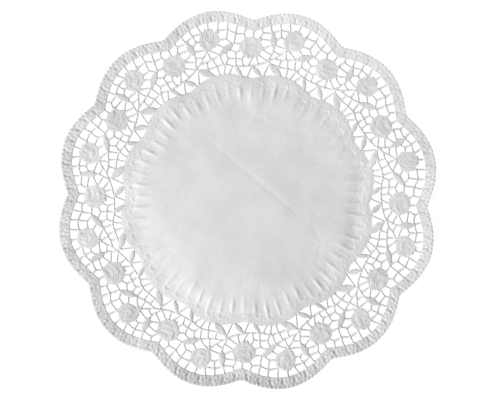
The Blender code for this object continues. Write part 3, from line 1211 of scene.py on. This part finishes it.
    def mesh(self) -> bpy.types.Mesh:
        """Builds the repeat: embossed face, underside and the walls of every cut edge.

        Returns:
            The mesh in metres, with every Mark on its points.
        """
        loops = self.frame()
        cut, corners = Cut.of(loops), np.concatenate(loops)
        loops = [loops[0]] + [loop[::-1] for loop in loops[1:]]
        loose = self.face_points(corners, cut), self.under_points(corners, cut)
        face, under = (self.indexed(loops, points) for points in loose)
        top, bottom = (np.concatenate([*loops, points]) for points in loose)
        walls = self.walls(loops, len(top))
        relief = self.embossing.at(top, cut.distance(top))
        beneath = self.under_relief(bottom, cut)
        heights = np.repeat([self.thickness, 0.0], [len(top), len(bottom)])
        vertices = np.column_stack([np.concatenate([top, bottom]), heights])
        mesh = bpy.data.meshes.new("doily repeat")
        polygons = face.tolist() + (under[:, ::-1] + len(top)).tolist() + walls
        mesh.from_pydata((vertices * MM).tolist(), [], polygons)
        mesh.update(calc_edges=True)
        for mark in Mark:
            values = np.concatenate([getattr(relief, mark.value), getattr(beneath, mark.value)])
            values = values * (MM if mark in (Mark.LIFT, Mark.FLUTE) else 1)
            made = mesh.attributes.new(mark.value, "FLOAT", "POINT")
            made.data.foreach_set("value", values.astype(np.float32))
        log.info("repeat: %d border points, %d on the face, %d underneath", len(corners), *map(len, loose))
        self.sharpen(mesh, walls, relief.broad)
        return mesh

    def indexed(self, loops: list[np.ndarray], points: np.ndarray) -> np.ndarray:
        """The triangles of the paper, by place in the loops and points."""
        _, triangles, sources = filled(loops, points)
        return np.array(sources)[triangles]

    def walls(self, loops: list[np.ndarray], below: int) -> list[list[int]]:
        """The walls of the cut edges.

        Args:
            loops: the border loops, all counter-clockwise.
            below: how far on the underside's points are numbered.

        Returns:
            The corners of a wall for each run that isn't on a seam.
        """
        walls, first = [], 0
        for number, loop in enumerate(loops):
            for place in np.flatnonzero(~seam_runs(loop)).tolist():
                a, b = first + place, first + (place + 1) % len(loop)
                if number:
                    a, b = b, a
                walls.append([b, a, below + a, below + b])
            first += len(loop)
        return walls

    def under_relief(self, points: np.ndarray, cut: Cut) -> Relief:
        """The underside's relief: a little less than the face's close by.

        Args:
            points: points of the underside.
            cut: the cut edges.

        Returns:
            The relief, with nothing but lift and flute.
        """
        near = [points] + [points + polar(60 * side, self.under_reach) for side in range(6)]
        reliefs = [self.embossing.at(place, cut.distance(place)) for place in near]
        lift = np.min([relief.lift for relief in reliefs], axis=0).clip(self.under_lowest, None)
        lift *= np.where(lift > 0, self.under_raised, self.under_sunk)
        flute = np.min([relief.flute for relief in reliefs], axis=0) * self.under_fluted
        return Relief.flat(len(points))._replace(lift=lift, flute=flute)

    def sharpen(self, mesh: bpy.types.Mesh, walls: list[list[int]], broad: np.ndarray) -> None:
        """Marks the cut edges sharp, all of the underside's, and the face's where the paper is broad.

        Args:
            mesh: the mesh.
            walls: the corners of its walls.
            broad: how broad the paper is at each point of the face.
        """
        wanted = {frozenset(wall[2:]) for wall in walls}
        wanted |= {frozenset(wall[:2]) for wall in walls if min(broad[wall[:2]]) > self.sharp_from}
        sharp = [frozenset(edge.vertices) in wanted for edge in mesh.edges]
        mesh.attributes.new("sharp_edge", "BOOLEAN", "EDGE").data.foreach_set("value", sharp)


class Noise(NamedTuple):
    """A noise: how many of its waves come on a metre, and its levels of detail."""

    scale: float
    detail: float


@dataclass(frozen=True)
class Graph:
    """A node tree that is being built."""

    tree: bpy.types.NodeTree

    def give(self, node: bpy.types.Node, inputs: dict[int | str, Given]) -> None:
        """Sets inputs of a node.

        Args:
            node: the node.
            inputs: what each is given, a value or another node's output.
        """
        for name, given in inputs.items():
            if isinstance(given, Socket):
                self.tree.links.new(given, node.inputs[name])
            else:
                node.inputs[name].default_value = given

    def node(
        self, kind: str, inputs: dict[int | str, Given] | None = None, **settings: str | bool
    ) -> bpy.types.Node:
        """Adds a node.

        Args:
            kind: the node's type.
            inputs: what its inputs are given.
            settings: its other settings.

        Returns:
            The node.
        """
        made = self.tree.nodes.new(kind)
        for setting, value in settings.items():
            setattr(made, setting, value)
        self.give(made, inputs or {})
        return made

    def first(self, kind: str, inputs: dict[int | str, Given] | None = None, **settings: str) -> Socket:
        """Adds a node and gives its first output."""
        return self.node(kind, inputs, **settings).outputs[0]

    def math(self, operation: str, *given: Given) -> Socket:
        """The result of an operation on numbers."""
        return self.first("ShaderNodeMath", dict(enumerate(given)), operation=operation)

    def vector(self, operation: str, *given: Given) -> Socket:
        """The result of an operation on vectors, a number for DOT_PRODUCT and LENGTH."""
        made = self.node("ShaderNodeVectorMath", dict(enumerate(given)), operation=operation)
        return made.outputs["Value" if operation in ("DOT_PRODUCT", "LENGTH") else "Vector"]

    def scaled(self, vector: Given, scale: Given) -> Socket:
        """A vector times a number."""
        return self.first("ShaderNodeVectorMath", {0: vector, "Scale": scale}, operation="SCALE")

    def noise(self, noise: Noise, inputs: dict[int | str, Given], **settings: str) -> Socket:
        """A noise's value."""
        given = {"Scale": noise.scale, "Detail": noise.detail, **inputs}
        return self.node("ShaderNodeTexNoise", given, **settings).outputs["Fac"]

    def ramp(self, value: Socket, source: Span, target: Span, kind: str = "SMOOTHSTEP") -> Socket:
        """A value that goes from one number to another.

        Args:
            value: what it follows.
            source: where it starts and ends.
            target: its numbers there.
            kind: how it goes on between them.

        Returns:
            The value.
        """
        names = ("From Min", "From Max", "To Min", "To Max")
        inputs = {"Value": value, **dict(zip(names, (*source, *target)))}
        return self.node("ShaderNodeMapRange", inputs, interpolation_type=kind).outputs["Result"]

    def bump(self, height: Socket, distance: float, under: dict[int | str, Given]) -> Socket:
        """The face's direction with a bump on it.

        Args:
            height: the bump's height.
            distance: what the height is multiplied by.
            under: the direction that the bump lies on, if it isn't the mesh's own.

        Returns:
            The direction.
        """
        inputs = {"Strength": 1.0, "Distance": distance, "Height": height, **under}
        return self.first("ShaderNodeBump", inputs)


def placed(name: str, data: bpy.types.ID) -> bpy.types.Object:
    """Puts a new object in the scene.

    Args:
        name: the object's name.
        data: its mesh, light or camera.

    Returns:
        The object.
    """
    made = bpy.data.objects.new(name, data)
    bpy.context.scene.collection.objects.link(made)
    return made


def new_material(name: str) -> tuple[bpy.types.Material, Graph, bpy.types.Node]:
    """Makes a material.

    Args:
        name: the material's name.

    Returns:
        The material, its nodes and its shader.
    """
    material = bpy.data.materials.new(name)
    material.use_nodes = True
    return material, Graph(material.node_tree), material.node_tree.nodes["Principled BSDF"]


class Crease(NamedTuple):
    """A straight valley in the paper, from one (x, y) to the other, its reach to each side and its depth."""

    start: Span
    end: Span
    reach: float
    depth: float


@dataclass(frozen=True)
class PaperFinish:
    """Matt white embossing paper: cloudy in the sheet, darker under painted shade and the embossed parts'
    tone, and lighter under painted highlight.

    The heights and the streaks' span are in metres, the creases and the whorls' step in millimetres.
    """

    white: tuple[float, float, float] = (0.70, 0.693, 0.695)
    # the colour's factor under full painted shade
    shade_and_tone_share: float = 0.5
    roughness: float = 0.88
    specular: float = 0.25
    noise_span: Span = (0.3, 0.7)
    clouds: Noise = Noise(60.0, 3)
    cloud_depth: float = 0.036
    specks: Noise = Noise(850.0, 3)
    speck_depth: float = 0.055
    # patches where the painted shade, painted highlight and tone are stronger or weaker
    shade_and_tone_patches: Noise = Noise(230.0, 2)
    shade_and_tone_patch_depth: float = 0.45
    grain: Noise = Noise(650.0, 1)
    grain_height: float = 0.0002
    fibre: Noise = Noise(1800.0, 3)
    fibre_height: float = 0.00002
    creases: tuple[Crease, ...] = (
        Crease((-35.0, 48.0), (54.0, -21.0), 3.52, 0.09),
        Crease((50.0, -18.0), (60.0, -32.0), 3.2, 0.08),
        Crease((60.0, -28.0), (56.0, -51.0), 3.52, 0.1),
        Crease((-5.0, 70.0), (22.0, 56.0), 4.8, 0.1),
        Crease((16.0, 58.0), (44.0, 54.0), 4.8, 0.1),
        Crease((45.0, 57.0), (39.0, 3.0), 6.4, 0.08),
    )
    whorl_step: float = 1.9
    whorl_height: float = 0.000028
    whorl_wander: float = 5.0
    whorl_patches: Noise = Noise(260.0, 1)
    streaks: Noise = Noise(1.0, 2)
    streak_turns: float = 9.0
    streak_scale: float = 25.0
    streak_height: float = 0.00018
    streak_span: Span = (0.04, 0.075)

    def attribute(self, graph: Graph, mark: Mark) -> Socket:
        """A number that the sheet's points carry."""
        return graph.node("ShaderNodeAttribute", attribute_name=mark.value).outputs["Fac"]

    def about_one(self, graph: Graph, place: Socket, noise: Noise, depth: float) -> Socket:
        """A factor that varies about 1 with a noise."""
        value = graph.noise(noise, {"Vector": place})
        return graph.ramp(value, self.noise_span, (1 - depth, 1 + depth), "LINEAR")

    def colour(self, graph: Graph, place: Socket) -> Socket:
        """The paper's colour: white, cloudy, darker under painted shade and the embossed parts' tone, and
        lighter under painted highlight.

        Args:
            graph: the material's nodes.
            place: the place on the sheet.

        Returns:
            The colour.
        """
        patches = self.about_one(graph, place, self.shade_and_tone_patches, self.shade_and_tone_patch_depth)
        clouds = self.about_one(graph, place, self.clouds, self.cloud_depth)
        specks = self.about_one(graph, place, self.specks, self.speck_depth)
        # painted shade and painted highlight from the sheet's points, stronger or weaker in patches
        pressed = graph.math("MULTIPLY", self.attribute(graph, Mark.PRESSED), patches)
        shade = graph.math("MULTIPLY_ADD", pressed, self.shade_and_tone_share - 1, 1.0)
        cloudy = graph.math("MULTIPLY", shade, graph.math("MULTIPLY", clouds, specks))
        return graph.scaled(self.white, cloudy)

    def streaked(self, graph: Graph, place: Socket, outward: Socket) -> Socket:
        """The height of the fine streaks that run outwards in the fluted ring.

        Args:
            graph: the material's nodes.
            place: the place on the sheet.
            outward: its distance from the middle.

        Returns:
            The height.
        """
        round_middle = graph.scaled(graph.vector("NORMALIZE", place), self.streak_turns)
        up = graph.first("ShaderNodeCombineXYZ", {"Z": graph.math("MULTIPLY", outward, self.streak_scale)})
        value = graph.noise(self.streaks, {"Vector": graph.vector("ADD", round_middle, up)})
        return graph.math("MULTIPLY", value, graph.ramp(outward, self.streak_span, (0, self.streak_height)))

    def whorled(self, graph: Graph, place: Socket) -> Socket:
        """The height of the whorls that go round a rose's heart.

        Args:
            graph: the material's nodes.
            place: the place on the sheet.

        Returns:
            The height.
        """
        turns = 2 * math.pi / self.whorl_step
        wander = graph.math("MULTIPLY", graph.noise(self.whorl_patches, {"Vector": place}), self.whorl_wander)
        phase = graph.math("MULTIPLY_ADD", self.attribute(graph, Mark.WHORL), turns, wander)
        height = graph.math("MULTIPLY", graph.math("SINE", phase), self.whorl_height)
        return graph.math("MULTIPLY", height, self.attribute(graph, Mark.PETALS))

    def valley(self, graph: Graph, level: Socket, crease: Crease) -> Socket:
        """The height of one crease, deepest halfway and gone at its ends.

        Args:
            graph: the material's nodes.
            level: the place on the sheet, with its height left out.
            crease: the crease.

        Returns:
            The height, at most zero.
        """
        start, end = (Vector((*point, 0)) * MM for point in (crease.start, crease.end))
        along, length = (end - start).normalized(), (end - start).length
        off = graph.vector("SUBTRACT", level, start)
        down = graph.vector("DOT_PRODUCT", off, along)
        down = graph.first("ShaderNodeClamp", {"Value": down, "Max": length})
        beside = graph.vector("LENGTH", graph.vector("SUBTRACT", off, graph.scaled(along, down)))
        share = graph.math("DIVIDE", down, length)
        left = graph.math("SUBTRACT", 1.0, share)
        fade = graph.math("MULTIPLY", graph.math("MULTIPLY", share, left), 4.0)
        depth = graph.ramp(beside, (0, crease.reach * MM), (-crease.depth * MM, 0))
        return graph.math("MULTIPLY", fade, depth)

    def surface(self, graph: Graph, place: Socket) -> Socket:
        """The face's direction with its bumps: streaks, whorls and creases, then the grain, then the fibres.

        Args:
            graph: the material's nodes.
            place: the place on the sheet.

        Returns:
            The direction.
        """
        level = graph.vector("MULTIPLY", place, (1.0, 1.0, 0.0))
        streaks = self.streaked(graph, place, graph.vector("LENGTH", level))
        large = graph.math("ADD", streaks, self.whorled(graph, place))
        for crease in self.creases:
            large = graph.math("ADD", large, self.valley(graph, level, crease))
        grain = graph.noise(self.grain, {"Vector": place})
        grain = graph.math("MULTIPLY", grain, self.attribute(graph, Mark.GRAIN))
        fibre = graph.noise(self.fibre, {"Vector": place})
        bumped = graph.bump(large, 1.0, {})
        bumped = graph.bump(grain, self.grain_height, {"Normal": bumped})
        return graph.bump(fibre, self.fibre_height, {"Normal": bumped})

    def material(self) -> bpy.types.Material:
        """Builds the material.

        Returns:
            A material that reads the pressed, grain, whorl and petals of the sheet's points.
        """
        material, graph, shader = new_material("embossing paper")
        place = graph.node("ShaderNodeTexCoord").outputs["Object"]
        graph.give(shader, {
            "Base Color": self.colour(graph, place),
            "Roughness": self.roughness,
            "Specular IOR Level": self.specular,
            "Normal": self.surface(graph, place),
        })
        return material


class Swell(NamedTuple):
    """A broad swell, or a hollow if its height is under zero: its top, and its reach each way."""

    bearing: float
    radius: float
    height: float
    inward: float
    outward: float
    aside: float


@dataclass
class DoilySheet:
    """The whole sheet: twelve repeats joined at their seams, then laid down with a few soft waves.

    Its size is in metres, and its paper's area in square metres.
    """

    repeat: SheetRepeat
    finish: PaperFinish
    seam_weld: float = 0.02
    flute_patches: Noise = Noise(75.0, 1)
    flute_unevenness: float = 3.0
    lift_patches: Noise = Noise(190.0, 1)
    lift_unevenness: float = 3.0
    lift_span: Span = (0.4, 1.6)
    press_lean: tuple[float, float, float] = (-0.07, -0.16, 0.0)
    seed: float = 4.0
    waves: int = 24
    wave_lengths: Span = (15.0, 75.0)
    wave_slope: float = 0.028
    wave_least: float = 0.6
    wave_growth: Span = (50.0, 80.0)
    warp: float = 4.6e-6
    warp_balance: float = 0.21
    warp_reach: float = 85.0
    rise: tuple[Span, ...] = (
        (0, 1.89), (22, 1.81), (30, 1.65), (50, 1.25), (60, 1.03), (66, 0.88), (73, 0.67), (80, 0.44),
        (85, 0.24), (88, 0.09), (92, 0.02), (98, 0.1), (104, 0.24), (112, 0.45), (131, 0.85), (140, 1.2),
        (151, 1.85),
    )
    rise_step: float = 2.0
    curl: tuple[Span, ...] = (
        (0, 0.0), (50, 0.2), (75, 1.0), (100, 1.5), (120, 0.8), (140, -0.2), (165, 0.0), (190, -0.3),
        (210, -0.6), (225, 0.3), (240, -0.2), (256, 1.3), (271, 3.6), (286, 1.9), (300, 0.2), (315, -0.6),
        (330, 0.0), (360, 0.0),
    )
    curl_step: float = 3.0
    curl_start: float = 136.0
    curl_reach: float = 14.0
    curl_power: float = 1.5
    swells: tuple[Swell, ...] = (
        Swell(212.0, 57.0, 0.5, 40.0, 16.0, 45.0),
        Swell(346.0, 79.0, 0.45, 9.5, 9.5, 18.0),
        Swell(332.0, 59.0, -0.35, 14.0, 14.0, 18.0),
        Swell(126.0, 81.0, -0.3, 12.0, 12.0, 12.0),
        Swell(82.0, 60.0, 0.5, 14.0, 14.0, 14.0),
        Swell(8.0, 92.0, 0.25, 9.0, 9.0, 26.0),
    )
    area: float = 0.0552
    size: float = 0.3

    def inputs(self) -> dict[str, tuple[str, object]]:
        """What the tree is given.

        Returns:
            Its named inputs, each with its kind of socket and its value.
        """
        return {
            "Count": ("NodeSocketInt", REPEATS),
            "Seam Weld": ("NodeSocketFloat", self.seam_weld * MM),
            "Flute Unevenness": ("NodeSocketFloat", self.flute_unevenness),
            "Lift Unevenness": ("NodeSocketFloat", self.lift_unevenness),
            "Press Lean": ("NodeSocketVector", self.press_lean),
            "Seed": ("NodeSocketFloat", self.seed),
            "Paper": ("NodeSocketMaterial", self.finish.material()),
        }

    def pressed_height(self, graph: Graph, given: bpy.types.NodeOutputs) -> Socket:
        """How far the press raises each point, here and there harder than elsewhere.

        Args:
            graph: the tree.
            given: the tree's inputs.

        Returns:
            The height.
        """
        outward = graph.vector("NORMALIZE", graph.first("GeometryNodeInputPosition"))
        harder = graph.math("ADD", graph.vector("DOT_PRODUCT", outward, given["Press Lean"]), 1.0)

        def strength(patches: Noise, unevenness: str) -> Socket:
            """How hard the press struck, about 1."""
            noise = graph.noise(patches, {"W": given["Seed"]}, noise_dimensions="4D")
            return graph.math("MULTIPLY_ADD", graph.math("SUBTRACT", noise, 0.5), given[unevenness], harder)

        lift, flute = (
            graph.first("GeometryNodeInputNamedAttribute", {"Name": mark.value}, data_type="FLOAT")
            for mark in (Mark.LIFT, Mark.FLUTE)
        )
        kept = {"Value": strength(self.lift_patches, "Lift Unevenness")}
        kept.update(zip(("Min", "Max"), self.lift_span))
        lifted = graph.math("MULTIPLY", lift, graph.first("ShaderNodeClamp", kept))
        fluting = strength(self.flute_patches, "Flute Unevenness")
        return graph.math("MULTIPLY_ADD", flute, fluting, lifted)

    def nodes(self, kinds: dict[str, str]) -> tuple[bpy.types.NodeTree, dict[str, str]]:
        """Builds the tree that repeats a mesh round the middle and presses it.

        Args:
            kinds: the kind of socket of each named input.

        Returns:
            The tree, and the identifier of each named input.
        """
        tree = bpy.data.node_groups.new("repeats round the middle", "GeometryNodeTree")
        tree.interface.new_socket("Geometry", in_out="OUTPUT", socket_type="NodeSocketGeometry")
        names = {
            name: tree.interface.new_socket(name, in_out="INPUT", socket_type=kind).identifier
            for name, kind in {"Repeat": "NodeSocketGeometry", **kinds}.items()
        }
        graph = Graph(tree)
        given = graph.node("NodeGroupInput").outputs
        turn = graph.math("MULTIPLY", graph.first("GeometryNodeInputIndex"), math.radians(PITCH))
        made = graph.first("GeometryNodeInstanceOnPoints", {
            "Points": graph.first("GeometryNodePoints", {"Count": given["Count"]}),
            "Instance": given["Repeat"],
            "Rotation": graph.first("ShaderNodeCombineXYZ", {"Z": turn}),
        })
        made = graph.first("GeometryNodeRealizeInstances", {0: made})
        made = graph.first("GeometryNodeMergeByDistance", {0: made, "Distance": given["Seam Weld"]})
        up = graph.first("ShaderNodeCombineXYZ", {"Z": self.pressed_height(graph, given)})
        made = graph.first("GeometryNodeSetPosition", {0: made, "Offset": up})
        made = graph.first("GeometryNodeSetShadeSmooth", {0: made})
        made = graph.first("GeometryNodeSetMaterial", {0: made, "Material": given["Paper"]})
        graph.node("NodeGroupOutput", {"Geometry": made})
        return tree, names

    def build(self) -> bpy.types.Object:
        """Returns:
            The sheet.
        """
        seed = placed("doily repeat", self.repeat.mesh())
        inputs = self.inputs()
        ring = seed.modifiers.new("ring", "NODES")
        ring.node_group, names = self.nodes({name: kind for name, (kind, _) in inputs.items()})
        for name, (_, value) in inputs.items():
            ring[names[name]] = value
        graph = bpy.context.evaluated_depsgraph_get()
        mesh = bpy.data.meshes.new_from_object(seed.evaluated_get(graph), depsgraph=graph)
        bpy.data.objects.remove(seed)
        self.lay_down(mesh)
        sheet = placed("doily_sheet", mesh)
        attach(sheet, "root")
        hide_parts("doily")
        return sheet

    def waviness(self, flat: np.ndarray, radius: np.ndarray) -> np.ndarray:
        """The height of the sheet's waves, its warp and its swells.

        Args:
            flat: the points, seen from above.
            radius: their distances from the middle.

        Returns:
            The height at each point.
        """
        draw = np.random.default_rng(int(self.seed))
        steepness = self.wave_slope * 2 / math.sqrt(self.waves)
        wave = np.zeros(len(flat))
        for length in np.geomspace(*self.wave_lengths, self.waves):
            bearing, shift = draw.uniform(0, 180), draw.uniform(0, 2 * math.pi)
            phase = 2 * np.pi * (flat @ polar(bearing, 1.0)) / length + shift
            wave += steepness * length / (2 * math.pi) * np.sin(phase)
        wave *= self.wave_least + (1 - self.wave_least) * smoothstep(radius, *self.wave_growth)
        x, y = flat.T * np.minimum(1, self.warp_reach / np.maximum(radius, 1))
        wave += self.warp * (x**2 * y - self.warp_balance * x**3)
        for swell in self.swells:
            right, out = seen_from(flat, swell.bearing, swell.radius).T
            reach = np.where(out > 0, swell.outward, swell.inward)
            wave += swell.height * hump(out, 0, reach) * hump(right, 0, swell.aside)
        return wave

    def lay_down(self, mesh: bpy.types.Mesh) -> None:
        """Gives the sheet the waves, the low dome and the raised rim of one that lies on a table.

        Args:
            mesh: the flat sheet's mesh.
        """
        places = np.empty(len(mesh.vertices) * 3)
        mesh.vertices.foreach_get("co", places)
        places = places.reshape(-1, 3)
        flat = places[:, :2] / MM
        radius = np.linalg.norm(flat, axis=1)
        profile, curl = smooth_path(self.rise, self.rise_step), smooth_path(self.curl, self.curl_step)
        beyond = np.clip((radius - self.curl_start) / self.curl_reach, 0, None) ** self.curl_power
        height = np.interp(radius, *profile.T) + self.waviness(flat, radius)
        height += np.interp(bearings_of(flat) % 360, *curl.T) * beyond
        places[:, 2] += (height - height.min()) * MM
        mesh.vertices.foreach_set("co", places.ravel())
        mesh.update()


class Lamp(NamedTuple):
    """A round light aimed at the sheet's middle, with its power in watts and its sizes in metres."""

    name: str
    power: float
    place: tuple[float, float, float]
    size: float


@dataclass
class Studio:
    """A white table, one broad soft light and a camera straight above.

    The table's sizes and the camera's reach are in metres, a pixel of the photograph in millimetres.
    """

    table_size: float = 3.0
    table_drop: float = 0.0002
    table_white: float = 0.14
    table_roughness: float = 0.9
    table_specular: float = 0.1
    table_glow: float = 0.92
    room_light: float = 0.35
    lamps: tuple[Lamp, ...] = (
        Lamp("soft key", 148.0, (-2.36, -1.36, 0.99), 1.15),
        Lamp("weak counter", 0.35, (0.1, 0.38, 0.35), 0.3),
    )
    pixel: float = 0.784
    frame_pixels: tuple[int, int] = (495, 400)
    middle_pixel: Span = (247.4, 200.0)
    lens: float = 85.0
    sensor: float = 36.0
    clip: Span = (0.01, 10.0)
    roll: float = 2.0

    def build(self) -> None:
        """Sets up the table, the lights and the camera."""
        self.table()
        self.light()
        self.camera()
        bpy.context.scene.view_settings.view_transform = "Standard"

    def table(self) -> None:
        """The white table, so bright that no shadow shows on it."""
        half = self.table_size / 2
        corners = [(-half, -half, 0), (half, -half, 0), (half, half, 0), (-half, half, 0)]
        mesh = bpy.data.meshes.new("table top")
        mesh.from_pydata(corners, [], [(0, 1, 2, 3)])
        top = placed("table_top", mesh)
        top.location.z = -self.table_drop
        material, graph, shader = new_material("white table")
        graph.give(shader, {
            "Base Color": (*(self.table_white,) * 3, 1),
            "Roughness": self.table_roughness,
            "Specular IOR Level": self.table_specular,
            "Emission Color": (1, 1, 1, 1),
            "Emission Strength": self.table_glow,
        })
        mesh.materials.append(material)

    def light(self) -> None:
        """A broad light from the photograph's lower left, a weak one from its top, and an even room."""
        for lamp in self.lamps:
            light = bpy.data.lights.new(lamp.name, "AREA")
            light.shape = "DISK"
            light.size = lamp.size
            light.energy = lamp.power
            holder = placed(lamp.name, light)
            holder.location = lamp.place
            holder.rotation_euler = (-Vector(lamp.place)).to_track_quat("-Z", "Y").to_euler()
        world = bpy.data.worlds.new("room")
        world.use_nodes = True
        room = {"Color": (1, 1, 1, 1), "Strength": self.room_light}
        Graph(world.node_tree).give(world.node_tree.nodes["Background"], room)
        bpy.context.scene.world = world

    def camera(self) -> None:
        """A camera straight above the sheet, turned as the photograph's."""
        (wide, high), (middle_x, middle_y) = self.frame_pixels, self.middle_pixel
        eye = bpy.data.cameras.new("overhead")
        eye.lens, eye.sensor_width, eye.sensor_fit = self.lens, self.sensor, "HORIZONTAL"
        eye.clip_start, eye.clip_end = self.clip
        off_middle = np.array([[wide / 2 - middle_x, middle_y - high / 2]]) * self.pixel * MM
        x, y = turned(off_middle, self.roll)[0]
        camera = placed("overhead", eye)
        camera.location = (x, y, wide * self.pixel * MM * self.lens / self.sensor)
        camera.rotation_euler = (0, 0, math.radians(self.roll))
        bpy.context.scene.camera = camera


def main() -> None:
    """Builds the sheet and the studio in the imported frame."""
    logging.basicConfig(level=logging.INFO, format="%(name)s: %(message)s")
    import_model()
    chart = LaceChart()
    sheet = DoilySheet(SheetRepeat(chart, Embossing(chart)), PaperFinish()).build()
    sheet.data.calc_loop_triangles()
    log.info("sheet: %d triangles", len(sheet.data.loop_triangles))
    Studio().build()
    log.info("studio: table, lights and camera")


if __name__ == "__main__":
    main()
